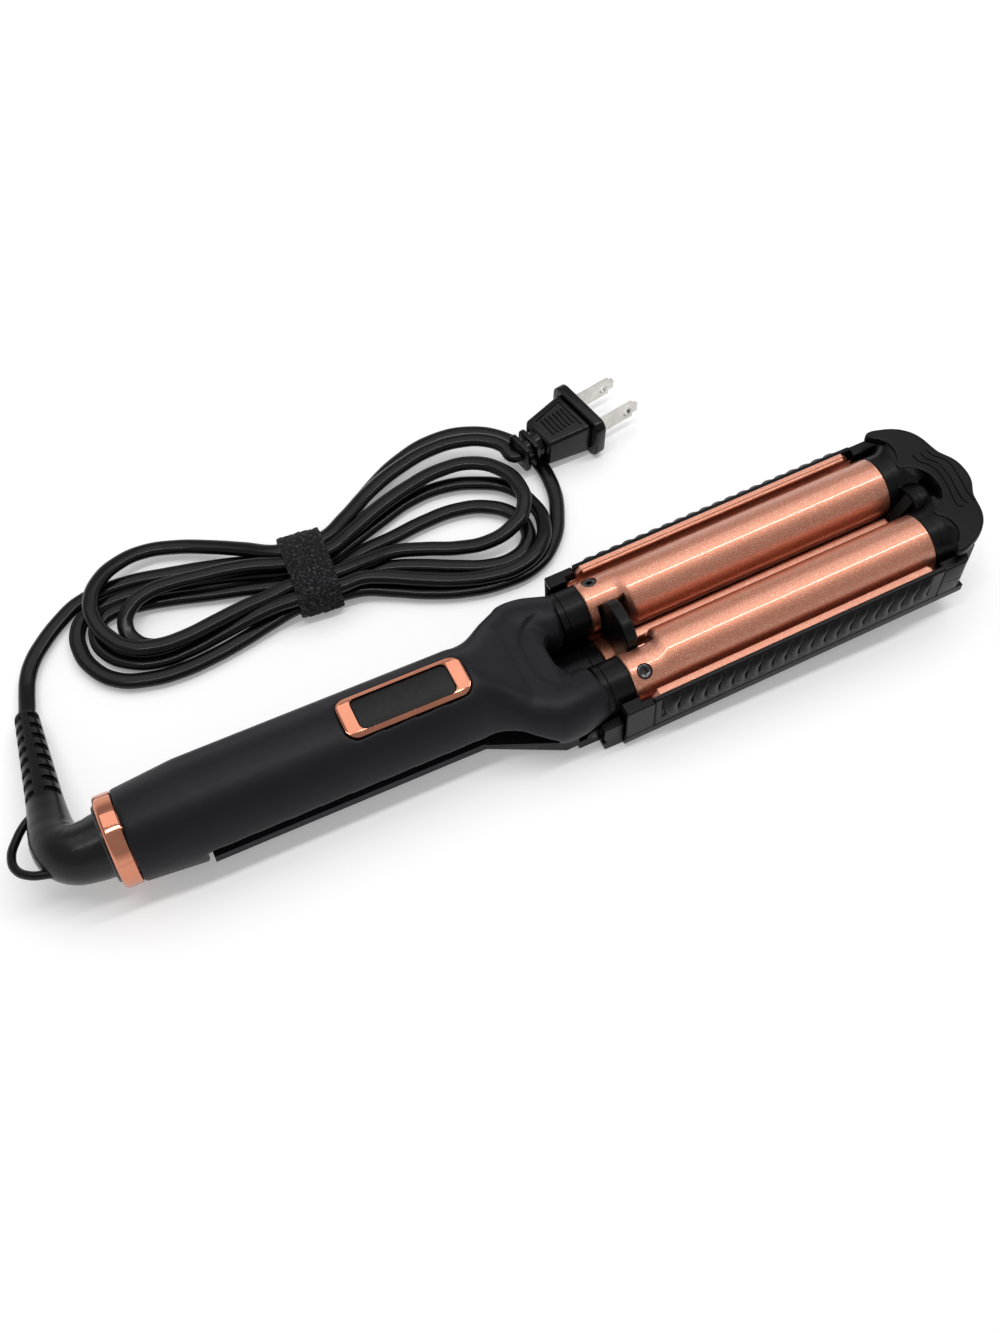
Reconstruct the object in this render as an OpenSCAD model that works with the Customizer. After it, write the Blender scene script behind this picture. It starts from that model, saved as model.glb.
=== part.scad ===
// Three-barrel hair waver: two fixed upper barrels on a forked handle, and a sprung lower
// clamp with a centre barrel between two heated wings. Millimetres, +Z up, +X to the cool tip.
// The handle lies level on the table, and the head tips up a little towards its tip.

/* [Barrels] */
// Outer diameter of each barrel
barrel_d = 19; // [17:0.5:23]
// Wall of the barrel tubes
barrel_wall = 1.2; // [0.8:0.1:2]
// Length of the upper barrels, from collar to end ring
barrel_len = 100.6; // [84:0.1:121]
// Gap between the two upper barrels
barrel_gap = 5.1; // [4.6:0.1:7]
// Gap between the centre barrel and each upper barrel
nip = 0.55; // [0.5:0.05:1.5]
// Step from the radius of a barrel down to that of its narrow neck
neck_step = 1.6; // [1.4:0.1:2]
// Length of the neck
neck_len = 11.5; // [10.8:0.1:14]

/* [Handle] */
// Outer diameter of the round handle
handle_d = 29.6; // [27:0.2:33]
// Wall of the handle shell
shell_wall = 2; // [1.6:0.1:2.6]
// Length of the handle, from barrel collar to end ring
handle_len = 135; // [120:1:162]
// Outer diameter of the end ring
ring_d = 26.4; // [24:0.2:28]
// Width of the end ring
ring_w = 5; // [4:0.5:8]
// Length of the control bezel
bezel_len = 37; // [31:0.5:44]
// Width of the control bezel
bezel_w = 12.9; // [11:0.1:15]

/* [Clamp] */
// Length of the clamp lever behind the hinge
lever_len = 110; // [92:1:112]
// Width of the lever
lever_w = 23.2; // [19:0.2:23.4]
// Diameter of the hinge pin
hinge_pin_d = 3; // [2.5:0.1:3.6]
// Height of the wing covers above the upper barrel axes
cover_rise = 4.6; // [3:0.1:6]
// Tilt of the head above the handle, in degrees
head_tilt = 3.4; // [3:0.1:3.8]
// Opening angle of the clamp, in degrees
clamp_open = 6; // [4:0.5:6]

/* [Cord] */
// Diameter of the mains cord
cord_d = 5; // [4.5:0.1:6]
// Angle below level at which the strain relief leaves the handle, in degrees
swivel_rest = 12; // [10:1:13]
// Thickness of the folded hank
hank_h = 11; // [10:0.5:14]

/* [Hidden] */

$fn = 64;
e = 0.01;                       // overshoot of a cutter past the face it cuts
run_gap = 0.05;                 // radial gap of a shaft or spigot in its bore
part_gap = 0.4;                 // gap between neighbours that move apart

// Head frame: x = 0 where the copper of the upper barrels begins, z = 0 at their axes
barrel_r = barrel_d / 2;
barrel_y = barrel_r + barrel_gap / 2;
barrel_drop = sqrt(pow(barrel_d + nip, 2) - pow(barrel_y, 2));
bore_r = barrel_r - barrel_wall;
neck_r = barrel_r - neck_step;
neck_y = barrel_y + barrel_r - neck_r;
neck_z = 0.5;
neck_bore_r = neck_r - barrel_wall;
spigot_r = neck_bore_r - run_gap;
wire_bore_r = 4.2;
collar_r = neck_r - 0.3;
collar_len = 9;
socket_len = 8.5;
screw_x = 4.2;
screw_lean = 26;
screw_head_r = 2.2;
screw_shank_r = 1.2;

// Hair guard between the barrel necks, and the slot that it moves in
guard_x = 3.6;
guard_t = 3.6;
guard_bite = 2.55;              // reach of the guard into each neck
guard_w = 2 * (neck_y - neck_r + guard_bite);
guard_top = 13.5;
guard_round = 7;
slot_half = guard_w / 2 + 0.6;
slot_x = guard_x - 1;

// Clamp body (a shallow tray), in the head frame
tray_z = -barrel_drop - 0.1;
foot = 1;                       // depth by which the table trims the tray's rounded underside
floor_t = 2.6;
floor_z = tray_z + floor_t;
side_top = -9;
cover_t = 1.5;
cover_gap = 0.95;               // air between a heated wing and its cover
tray_r = 4.5;
tray_x0 = -18.5;
tray_x1 = barrel_len + 9;
plate_gap = 0.8;                // air between an upper barrel and its heated wing
plate_t = 1.5;
plate_top = 5.5;
plate_y = barrel_y + barrel_r + plate_gap + plate_t + cover_gap;  // inner face of the cover
clamp_half = plate_y + cover_t;
ledge_top = 1.5;                // low ledges that lead the wing at both of its ends
ledge_len = 3;
arm_top = tray_z + 9.3;         // top of the clamp behind the fork
block_x0 = -6;
block_x1 = 3;
centre_end = barrel_len - 1.6;
rail_half = barrel_gap / 2 - 0.65;
rail_top = -1.3;                // the centre barrel's rail rises between the upper barrels

// Handle and its lower lever, in the table's frame
handle_r = handle_d / 2;
handle_bore = handle_r - shell_wall;
lever_r = handle_r + 1.5;       // the lever stands proud of the shell and touches the table
handle_z = lever_r;
head_z = -tray_z - foot;
split_z = handle_z + 0.3;       // lower edge of the handle shell
fork_split = handle_z - 7.5;    // lower edge of the fork
lever_top = 7.5;
lever_rise = lever_len * sin(clamp_open);
liner_z = lever_top + lever_rise + 0.5;  // underside of the liner that closes the shell
liner_t = 1.6;
ring_r = ring_d / 2;
ring_x = -collar_len - handle_len;
tail_x = ring_x + 18;           // the shell tapers, and is a full round, behind this point
tail_bore = ring_r - shell_wall;
yoke_x = -42;
fork_x = -17.3;                 // inner end of the gap in the fork
shoulder_x = -31;
shoulder_y = neck_y - 2.45;
prong_x = -21.5;
prong_y = neck_y + 1.95;
boss_r = 2.6;
boss_y = 6.5;

// Hinge of the clamp, in the head frame
hinge_x = -13;
hinge_r = hinge_pin_d / 2;
ear_r = hinge_r + 1.5;
hinge_z = floor_z + ear_r + 0.3;
arm_half = barrel_r - 0.3;
ear_out = neck_y + 3.75;
ear_in = ear_out - 4.8;
knuckle_in = ear_out + part_gap;
knuckle_out = knuckle_in + 3.2;
cheek_in = neck_y + collar_r + part_gap;
cheek_out = cheek_in + 2.8;
cheek_top = -3;
cheek_wall = 0.7;
spring_half = 3.4;
spring_wire = 0.4;
spring_r = hinge_r + 0.7;       // radius of the spring's wire centre

lever_end = hinge_x - lever_len;

// Cool tip, in the head frame
ring_len = 3.4;
bell_x = barrel_len + ring_len;
bell_r = barrel_r + 1.7;
tip_z0 = 5;
tip_z1 = 10.4;
tip_front = barrel_len + 22.4;
lobe_y = barrel_y + 2.75;
lobe_r = 9.4;
arch_r = 9.4;                   // arch of the tip over the knob
apron_half = 10;
apron_z = -8;
nose_r = 7.2;
knob_x = bell_x + 0.4;
knob_end = bell_x + 6.6;
knob_r = 6.4;
knob_z = 1.8;

// Control panel, on the handle
bezel_x = -collar_len - 72.2;
bezel_r = handle_r + 0.35;
bezel_z = handle_z + 12.9;
bezel_end = 4.4;
bezel_side = 1.6;
pad_len = bezel_len - 2 * bezel_end;
pad_w = bezel_w - 2 * bezel_side;
pad_gap = 0.3;
pad_lip = 0.8;
pad_z = bezel_z - 0.8;
pad_travel = 0.5;
board_z = liner_z + liner_t + 1.2;
board_t = 1.6;
board_x = bezel_x - 4;
board_len = bezel_len + 6;
board_w = 18;

// Cord swivel
elbow_x = ring_x - ring_w;
journal_r = 6;
loop_r = 1.25;                  // radius of the hanging loop's wire
relief_len = 35.5;
relief_y = 20.5;
relief_r0 = 5.2;
relief_r1 = 3.5;
relief_ribs = 8;
relief_splay = 3.5;             // angle by which the sleeve leans outwards
cord_r = cord_d / 2;

// Plug
plug_at = [39, 86.3];
plug_turn = 11;
plug_axis_z = 7.6;
flange_t = 3.6;
plug_len = 16;
plug_collar_len = 8;
blade_pitch = 12.7;
blade_len = 17.5;
blade_h = 6.35;
blade_t = 1.5;

// The frame's origin: middle of the length, on the table
tip_reach = tip_front * cos(head_tilt) - tip_z0 * sin(head_tilt);
loop_reach = elbow_x - 25.8;
origin_x = (tip_reach + loop_reach) / 2;

// Cord lead from the strain relief to the hank, on the table. Points chosen by hand.
lead_route = [[-158.4, 59, 3.7], [-157.3, 64, 2.9], [-155.6, 69.5, 2.5], [-152.8, 74.5, 2.5],
    [-148.8, 79, 2.5], [-144.4, 82.6, 2.5], [-140.4, 85.8, 2.5], [-134.4, 89.1, 2.5]];

// Strap round the middle of the hank
tie_w = 28;
tie_len = 13.4;
tie_wall = 1.95;

copper = [0.72, 0.45, 0.34];
rose_gold = [0.85, 0.5, 0.4];
soft_black = [0.13, 0.13, 0.14];
black = [0.09, 0.09, 0.1];
steel = [0.75, 0.75, 0.76];

// ---- building blocks ----

module rod(r, x0, x1, y = 0, z = 0) {
    translate([x0, y, z]) rotate([0, 90, 0]) cylinder(r = r, h = x1 - x0);
}

module taper(r0, r1, x0, x1, y = 0, z = 0) {
    translate([x0, y, z]) rotate([0, 90, 0]) cylinder(r1 = r0, r2 = r1, h = x1 - x0);
}

module cross_rod(r, y0, y1, x, z) {
    translate([x, y0, z]) rotate([-90, 0, 0]) cylinder(r = r, h = y1 - y0);
}

module slab(x0, x1, y0, y1, z0, z1) {
    translate([x0, y0, z0]) cube([x1 - x0, y1 - y0, z1 - z0]);
}

// Outline drawn in Y-Z, run along X
module along_x(x0, x1) {
    translate([x0, 0, 0]) rotate([90, 0, 90]) linear_extrude(height = x1 - x0) children();
}

module rounded(w, h, r) {
    offset(r = r, $fn = 32) square([w - 2 * r, h - 2 * r], center = true);
}

module in_frame() {
    translate([-origin_x, 0, 0]) children();
}

module in_head() {
    translate([0, 0, head_z]) rotate([0, -head_tilt, 0]) children();
}

module on_side(side) {
    mirror([0, side < 0 ? 1 : 0, 0]) children();
}

module both_sides() {
    for (side = [-1, 1]) on_side(side) children();
}

module above_table() {
    intersection() {
        children();
        translate([-300, -100, 0]) cube([600, 200, 100]);
    }
}

// Round tube swept along points, with one radius for each point
function unit(v) = v / norm(v);
function heading(p, i) = unit(p[min(i + 1, len(p) - 1)] - p[max(i - 1, 0)]);
function ring_at(c, d, r, n) =
    let(side = unit(cross([0, 0, 1], d)), lift = cross(d, side))
    [for (k = [0:n - 1]) c + r * (cos(360 * k / n) * side + sin(360 * k / n) * lift)];

module sweep(p, r, n = 10) {
    rings = len(p);
    points = [for (i = [0:rings - 1]) each ring_at(p[i], heading(p, i), r[i], n)];
    sides = [for (i = [0:rings - 2], k = [0:n - 1])
        let(a = i * n + k, b = i * n + (k + 1) % n) [a, a + n, b + n, b]];
    caps = [[for (k = [0:n - 1]) k], [for (k = [0:n - 1]) rings * n - 1 - k]];
    polyhedron(points = points, faces = concat(sides, caps));
}

// ---- handle, on the root body ----

// Shoulders of the fork: from the round handle out to the two prongs
module yoke_solid(grow) {
    hull() {
        rod(handle_r + grow - 0.05, yoke_x - 1, yoke_x, 0, handle_z, $fn = 40);
        in_head() for (y = [-shoulder_y, shoulder_y]) translate([shoulder_x, y, 4.2])
            sphere(r = collar_r + 0.2 + grow, $fn = 24);
    }
    hull() in_head() {
        for (y = [-shoulder_y, shoulder_y]) translate([shoulder_x, y, 4.2])
            sphere(r = collar_r + 0.1 + grow, $fn = 24);
        for (y = [-prong_y, prong_y]) translate([prong_x, y, 1.6])
            sphere(r = collar_r + 0.8 + grow, $fn = 24);
    }
}

module screw_bosses() {
    for (p = [[tail_x + 10, 0], [bezel_x - 9, boss_y], [bezel_x - 9, -boss_y]])
        translate([p[0], p[1], 0]) children();
}

// Gap between the prongs, with rounded inner corners
module fork_gap() {
    half = neck_y - collar_r + 0.3;   // takes a narrow flat off each prong
    corner = 4;
    translate([0, 0, -30]) linear_extrude(height = 60) {
        translate([fork_x + corner, -half]) square([-fork_x, 2 * half]);
        translate([fork_x, corner - half]) square([-fork_x, 2 * (half - corner)]);
        for (y = [corner - half, half - corner]) translate([fork_x + corner, y]) circle(r = corner);
    }
}

module handle_solid() {
    difference() {
        union() {
            rod(handle_r, tail_x, yoke_x, 0, handle_z, $fn = 96);
            taper(ring_r, handle_r, ring_x, tail_x, 0, handle_z, $fn = 96);
            difference() {
                yoke_solid(0);
                slab(-60, 0, -60, 60, -20, fork_split);
            }
            in_head() both_sides() rod(collar_r, fork_x - 3, -collar_len, neck_y, neck_z);
        }
        // space for the lever and its travel
        slab(tail_x, yoke_x, -30, 30, -5, split_z);
        translate([yoke_x - e, 60, 0]) rotate([90, 0, 0]) linear_extrude(height = 120)
            polygon([[0, -5], [0, split_z], [(fork_x - yoke_x) / 3, split_z],
                [fork_x - yoke_x, fork_split + 0.1], [fork_x - yoke_x, -5]]);
        in_head() fork_gap();
    }
}

module handle_top_shell() {
    color(soft_black) in_frame() difference() {
        union() {
            difference() {
                handle_solid();
                rod(handle_bore, tail_x - e, yoke_x + 0.5, 0, handle_z);
                taper(tail_bore, handle_bore, ring_x - e, tail_x, 0, handle_z);
                intersection() {
                    yoke_solid(-shell_wall - 0.4);
                    slab(yoke_x, fork_x - 2, -40, 40, handle_z - 3, 60);
                }
            }
            intersection() {
                screw_bosses() translate([0, 0, liner_z + liner_t]) cylinder(r = boss_r, h = handle_r);
                rod(handle_r - shell_wall / 2, tail_x, yoke_x, 0, handle_z);
            }
            in_head() both_sides() {
                cross_rod(ear_r, ear_in, ear_out, hinge_x, hinge_z);
                slab(hinge_x - ear_r, hinge_x + ear_r, ear_in, ear_out, hinge_z, neck_z - collar_r + 1);
            }
        }
        in_head() both_sides() {
            rod(neck_bore_r, -collar_len - socket_len, 0, neck_y, neck_z);
            rod(wire_bore_r, fork_x - 5, -collar_len - socket_len + 1, neck_y, neck_z);
            cross_rod(hinge_r, 0, 40, hinge_x, hinge_z);
        }
        screw_bosses() translate([0, 0, liner_z]) cylinder(r = 1, h = 8);
        translate([bezel_x + bezel_len / 2, 0, handle_z + 8]) linear_extrude(height = 12)
            rounded(bezel_len + 0.1, bezel_w + 0.1, 3.5);
    }
}

module handle_liner() {
    color(black) in_frame() {
        difference() {
            union() {
                intersection() {
                    rod(handle_bore - run_gap, tail_x, yoke_x, 0, handle_z);
                    slab(tail_x + 1.5, yoke_x, -20, 20, liner_z, liner_z + liner_t);
                }
                rod(handle_bore - run_gap, tail_x + 0.1, tail_x + 1.5, 0, handle_z);
                for (x = [board_x + 3, board_x + board_len - 3], y = [-boss_y, boss_y])
                    translate([x, y, liner_z]) cylinder(r = 1.5, h = board_z - liner_z);
            }
            screw_bosses() translate([0, 0, liner_z - 1]) cylinder(r = 1.3, h = 4);
            rod(3, tail_x - 1, tail_x + 3, 0, handle_z + 8);
        }
    }
}

module handle_screws() {
    color(steel) in_frame() screw_bosses() difference() {
        union() {
            translate([0, 0, liner_z - 1.2]) cylinder(r = 2.1, h = 1.2);
            translate([0, 0, liner_z - e]) cylinder(r = 1, h = 7.4);
        }
        translate([0, 0, liner_z - 2]) cylinder(r = 0.9, h = 1.4, $fn = 6);
    }
}

module end_ring() {
    color(rose_gold) in_frame() difference() {
        union() {
            taper(ring_r - 0.5, ring_r, elbow_x, elbow_x + 0.8, 0, handle_z, $fn = 96);
            rod(ring_r, elbow_x + 0.8, ring_x, 0, handle_z, $fn = 96);
            rod(tail_bore - run_gap, ring_x - 1, ring_x + 5, 0, handle_z);
        }
        rod(tail_bore + 0.2, elbow_x - 1, ring_x - 1.2, 0, handle_z);
        rod(tail_bore - 2, elbow_x - 1, ring_x + 6, 0, handle_z);
    }
}

module swivel_socket() {
    color(black) in_frame() difference() {
        rod(tail_bore - run_gap, ring_x + 5.1, ring_x + 13, 0, handle_z);
        rod(journal_r + run_gap, ring_x + 4, ring_x + 14, 0, handle_z);
    }
}

module at_panel(z) {
    translate([bezel_x + bezel_len / 2, 0, z]) children();
}

module display_bezel() {
    color(rose_gold) in_frame() difference() {
        intersection() {
            at_panel(bezel_z) linear_extrude(height = 6) rounded(bezel_len, bezel_w, 3.5);
            rod(bezel_r, bezel_x - 1, bezel_x + bezel_len + 1, 0, handle_z);
        }
        at_panel(bezel_z - 1) linear_extrude(height = 8)
            rounded(pad_len + 2 * pad_gap, pad_w + 2 * pad_gap, 2);
        // scooped ends
        for (x = [bezel_x + bezel_end / 2 + 0.2, bezel_x + bezel_len - bezel_end / 2 - 0.2])
            cross_rod(5.5, -pad_w / 2, pad_w / 2, x, handle_z + bezel_r + 4.6);
    }
}

module control_pad() {
    color(black) in_frame() intersection() {
        union() {
            at_panel(pad_z) linear_extrude(height = 0.6)
                rounded(pad_len + 2 * pad_lip, pad_w + 2 * pad_lip, 2);
            at_panel(pad_z) linear_extrude(height = 5) rounded(pad_len, pad_w, 1.8);
        }
        rod(handle_r - 0.25, bezel_x, bezel_x + bezel_len, 0, handle_z);
    }
}

module circuit_board() {
    color([0.1, 0.35, 0.18]) in_frame() {
        slab(board_x, board_x + board_len, -board_w / 2, board_w / 2, board_z, board_z + board_t);
        slab(board_x + 1.5, board_x + 3.9, -5, 5, board_z + board_t, board_z + board_t + 1.5);
        translate([board_x + board_len - 2.5, 0, board_z + board_t]) cylinder(r = 2, h = 2.5);
    }
}

module tact_switches() {
    color(steel) in_frame() for (k = [-1, 0, 1]) at_panel(board_z + board_t)
        translate([9 * k, 0, 0]) {
            translate([-3, -3, 0]) cube([6, 6, 2]);
            cylinder(r = 1.6, h = pad_z - board_z - board_t - pad_travel - 0.05);
        }
}

module wiring_harness() {
    color([0.7, 0.1, 0.1]) in_frame() both_sides() sweep([
        [board_x + board_len + 0.5, 4, handle_z + 6.5], [yoke_x + 5, 6.5, handle_z + 5],
        [yoke_x + 11, 9.5, handle_z + 2.5], [yoke_x + 17, 12, handle_z],
        [yoke_x + 22, 13.4, handle_z - 1.8],
        [yoke_x + 28, neck_y, handle_z - 2], [yoke_x + 36, neck_y, handle_z - 1.6],
        [yoke_x + 48, neck_y, handle_z - 0.9]], [for (i = [0:7]) 0.9], 8);
}

// ---- upper barrels, on the root body ----

module screw_place() {
    translate([screw_x, neck_y, neck_z]) rotate([-screw_lean, 0, 0]) children();
}

module guard_slot() {
    slab(slot_x, neck_len, 0, slot_half, -20, 20);
}

module collar(side) {
    color(black) in_frame() in_head() on_side(side) difference() {
        union() {
            rod(collar_r, -collar_len + 0.05, -0.05, neck_y, neck_z);
            rod(spigot_r, -collar_len - socket_len + 0.5, neck_len - 0.3, neck_y, neck_z);
        }
        rod(wire_bore_r, -40, 40, neck_y, neck_z);
        guard_slot();
        screw_place() cylinder(r = screw_shank_r + run_gap, h = 10);
        screw_place() translate([0, 0, spigot_r - 0.6]) cylinder(r = 2.3, h = 5);
    }
}

module upper_barrel(side) {
    color(copper) in_frame() in_head() on_side(side) difference() {
        union() {
            rod(neck_r, 0, neck_len + barrel_wall, neck_y, neck_z);
            rod(barrel_r, neck_len, barrel_len, barrel_y, 0);
        }
        rod(neck_bore_r, -1, neck_len + barrel_wall + 1, neck_y, neck_z);
        rod(bore_r, neck_len + barrel_wall, barrel_len + 1, barrel_y, 0);
        guard_slot();
        screw_place() cylinder(r = 2.3, h = 12);
    }
}

module barrel_screws() {
    color(steel) in_frame() in_head() both_sides() screw_place() difference() {
        union() {
            translate([0, 0, spigot_r - 0.5]) cylinder(r = screw_head_r, h = 1.5);
            translate([0, 0, wire_bore_r]) cylinder(r = screw_shank_r, h = 2.4);
        }
        translate([0, 0, spigot_r + 0.2]) cylinder(r = 1.1, h = 2, $fn = 6);
    }
}

// Flat-sided aluminium clamp block with a ceramic heating plate in its slot
module heater_block(r, x0, x1) {
    difference() {
        intersection() {
            rod(r, x0, x1);
            slab(x0, x1, -20, 20, -4.6, 4.6);
        }
        slab(x0 - 1, x1 + 1, -4.2, 4.2, -1, 1);
    }
    slab(x0 + 4, x1 - 4, -4.1, 4.1, -0.95, 0.95);
}

module heater(side) {
    color([0.82, 0.82, 0.8]) in_frame() in_head() on_side(side) translate([0, barrel_y, 0])
        heater_block(bore_r - run_gap, neck_len + 4, barrel_len - 12);
}

module thermal_fuse() {
    color([0.9, 0.88, 0.8]) in_frame() in_head() translate([0, barrel_y, 0]) {
        rod(1.6, barrel_len - 11.5, barrel_len - 7.5, 0, 0);
        rod(0.4, barrel_len - 12, barrel_len - 6.5, 0, 0);
    }
}

// Black end ring and flared bell that carry the cool tip
module end_cap(side) {
    room = plate_y - plate_t - 1.1;
    color(black) in_frame() in_head() on_side(side) difference() {
        union() {
            rod(bore_r - run_gap, barrel_len - 6, barrel_len, barrel_y, 0);
            rod(barrel_r, barrel_len, bell_x, barrel_y, 0);
            intersection() {
                translate([bell_x, barrel_y, 0]) rotate([0, 90, 0]) rotate_extrude()
                    difference() {
                        square([bell_r, 9]);
                        translate([bell_r + 2.6, 0]) circle(r = 4.4);
                    }
                slab(bell_x, bell_x + 9, 0, room, -30, tip_z0 - 0.05);
            }
        }
        // room for the knob, also on its way down
        rod(knob_r + part_gap, bell_x, bell_x + 12, 0, knob_z);
        slab(bell_x, bell_x + 12, -1, knob_r + part_gap, -30, knob_z);
        rod(5, barrel_len - 7, bell_x + 2, barrel_y, 0);
        translate([bell_x + 6, barrel_y, 0]) cylinder(r = 1, h = 12);
    }
}

module tip_outline() {
    difference() {
        union() {
            hull() both_lobes() translate([bell_x + 6.2, lobe_y]) circle(r = lobe_r);
            translate([tip_front - 13, 0]) circle(r = 13);
            hull() both_lobes() translate([bell_x + 1.6, lobe_y]) square([2, lobe_r + 0.6]);
        }
        translate([bell_x, 0]) circle(r = arch_r);
        both_lobes() translate([bell_x - 4.5, lobe_y + 2.5]) circle(r = arch_r - 0.2);
        translate([bell_x - 20, -50]) square([21.3, 100]);
    }
}

module both_lobes() {
    for (side = [-1, 1]) mirror([0, side < 0 ? 1 : 0]) children();
}

module cool_tip() {
    color(black) in_frame() in_head() difference() {
        union() {
            translate([0, 0, tip_z0]) linear_extrude(height = tip_z1 - tip_z0 - 1.4) tip_outline();
            translate([0, 0, tip_z1 - 1.4]) linear_extrude(height = 1.4)
                offset(r = -1.2, $fn = 32) tip_outline();
            // apron in front of the knob
            slab(bell_x + 9.2, bell_x + 11, -apron_half, apron_half, apron_z, tip_z0 + 1);
        }
        both_sides() translate([bell_x + 6, barrel_y, tip_z0 - 1]) cylinder(r = 1, h = 4);
    }
}

module tip_screws() {
    color(steel) in_frame() in_head() both_sides()
        translate([bell_x + 6, barrel_y, tip_z0 - 4]) cylinder(r = 1, h = 6);
}

// ---- hinge ----

module hinge_pin() {
    color(steel) in_frame() in_head()
        cross_rod(hinge_r, -knuckle_out, knuckle_out, hinge_x, hinge_z);
}

// Torsion spring in the middle of the arm, as touching turns round the pin
module return_spring() {
    turns = 3;
    color(steel) in_frame() in_head() for (k = [-turns:turns])
        translate([hinge_x, 2.01 * spring_wire * k, hinge_z])
            rotate([90, 0, 0]) rotate_extrude() translate([spring_r, 0]) circle(r = spring_wire);
}

// ---- clamp body ----

module tray_section() {
    difference() {
        union() {
            hull() for (y = [-1, 1]) translate([y * (clamp_half - tray_r), tray_z + tray_r])
                circle(r = tray_r);
            translate([-clamp_half, tray_z + tray_r]) square([2 * clamp_half, side_top - tray_z - tray_r]);
        }
        translate([-plate_y, floor_z]) square([2 * plate_y, 20]);
        translate([-50, side_top]) square([100, 20]);
    }
}

module clamp_body() {
    color(black) in_frame() above_table() in_head() difference() {
        union() {
            along_x(block_x0, tray_x1) tray_section();
            // rear floor, arm and hinge knuckles
            slab(tray_x0, block_x0 + 1, -knuckle_out, knuckle_out, tray_z, floor_z);
            slab(hinge_x + 1, block_x0 + 1, -cheek_out, cheek_out, tray_z, floor_z);
            intersection() {
                rod(barrel_r - 0.2, tray_x0, -4.2, 0, -barrel_drop);
                slab(tray_x0, 0, -arm_half, arm_half, floor_z - 1, arm_top);
            }
            both_sides() {
                cross_rod(ear_r, knuckle_in, knuckle_out, hinge_x, hinge_z);
                slab(tray_x0, block_x0, knuckle_in, knuckle_out, floor_z - 1, hinge_z);
                slab(hinge_x + 1, block_x0 - 0.1, cheek_in, cheek_out, tray_z, cheek_top);
            }
        }
        // the cheeks are open at the back
        both_sides() slab(hinge_x, hinge_x + 4, cheek_in + cheek_wall, cheek_out - cheek_wall,
            floor_z + cheek_wall, cheek_top - cheek_wall);
        cross_rod(hinge_r + run_gap, -40, 40, hinge_x, hinge_z);
        cross_rod(spring_r + spring_wire + 0.2, -spring_half, spring_half, hinge_x, hinge_z);
        clamp_screw_places() cylinder(r = 1.05, h = 20, center = true);
        clamp_screw_places() translate([0, 0, -4]) cylinder(r = 2.2, h = 5.4);
    }
}

module clamp_screw_places() {
    for (x = [30, 85]) both_sides() translate([x, 18, tray_z]) children();
}

module clamp_screws() {
    color(steel) in_frame() in_head() clamp_screw_places() difference() {
        union() {
            translate([0, 0, 0.5]) cylinder(r = 2, h = 0.9);
            translate([0, 0, 1.3]) cylinder(r = 1, h = floor_t - 0.3);
        }
        cylinder(r = 0.9, h = 1.1, $fn = 6);
    }
}

module lever() {
    color(soft_black) in_frame() above_table() difference() {
        union() {
            intersection() {
                rod(lever_r + 0.35, lever_end, yoke_x, 0, handle_z, $fn = 96);
                slab(lever_end, yoke_x, -lever_w / 2, lever_w / 2, 0, lever_top);
            }
            intersection() {
                hull() {
                    slab(yoke_x - 2, yoke_x, -lever_w / 2 + 3, lever_w / 2 - 3, 0, 7);
                    slab(yoke_x - 2, yoke_x, -lever_w / 2, lever_w / 2, 5, 7.2);
                    in_head() slab(tray_x0 - 4, tray_x0 - 0.05,
                        -knuckle_out, knuckle_out, tray_z + 4.5, arm_top);
                    in_head() slab(tray_x0 - 4, tray_x0 - 0.05,
                        -knuckle_out + 3, knuckle_out - 3, tray_z, arm_top - 1.8);
                }
                in_head() slab(-80, tray_x0 - 0.05, -60, 60, -30, 10);
            }
        }
        // the lever is a channel, open to the handle
        slab(lever_end + 2.2, yoke_x, -lever_w / 2 + 2, lever_w / 2 - 2, 2.6, 20);
    }
}

// ---- heated parts of the clamp ----

module centre_barrel() {
    color(copper) in_frame() in_head() difference() {
        union() {
            intersection() {
                rod(barrel_r, 0.2, centre_end, 0, -barrel_drop);
                slab(0, barrel_len, -20, 20, floor_z, 0);
            }
            slab(guard_x + guard_t + 0.05, centre_end, -rail_half, rail_half,
                -barrel_drop + bore_r + 0.4, rail_top);
        }
        rod(bore_r, -1, barrel_len, 0, -barrel_drop);
    }
}

module centre_heater() {
    color([0.82, 0.82, 0.8]) in_frame() in_head() intersection() {
        rod(bore_r - run_gap, 8, barrel_len - 14, 0, -barrel_drop);
        slab(8, barrel_len - 14, -6, 6, floor_z + 0.05, -barrel_drop + bore_r);
    }
}

module centre_collar() {
    color(black) in_frame() in_head() intersection() {
        rod(barrel_r - 0.2, -4.1, 0.1, 0, -barrel_drop);
        slab(-5, 1, -20, 20, floor_z, 0);
    }
}

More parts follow.
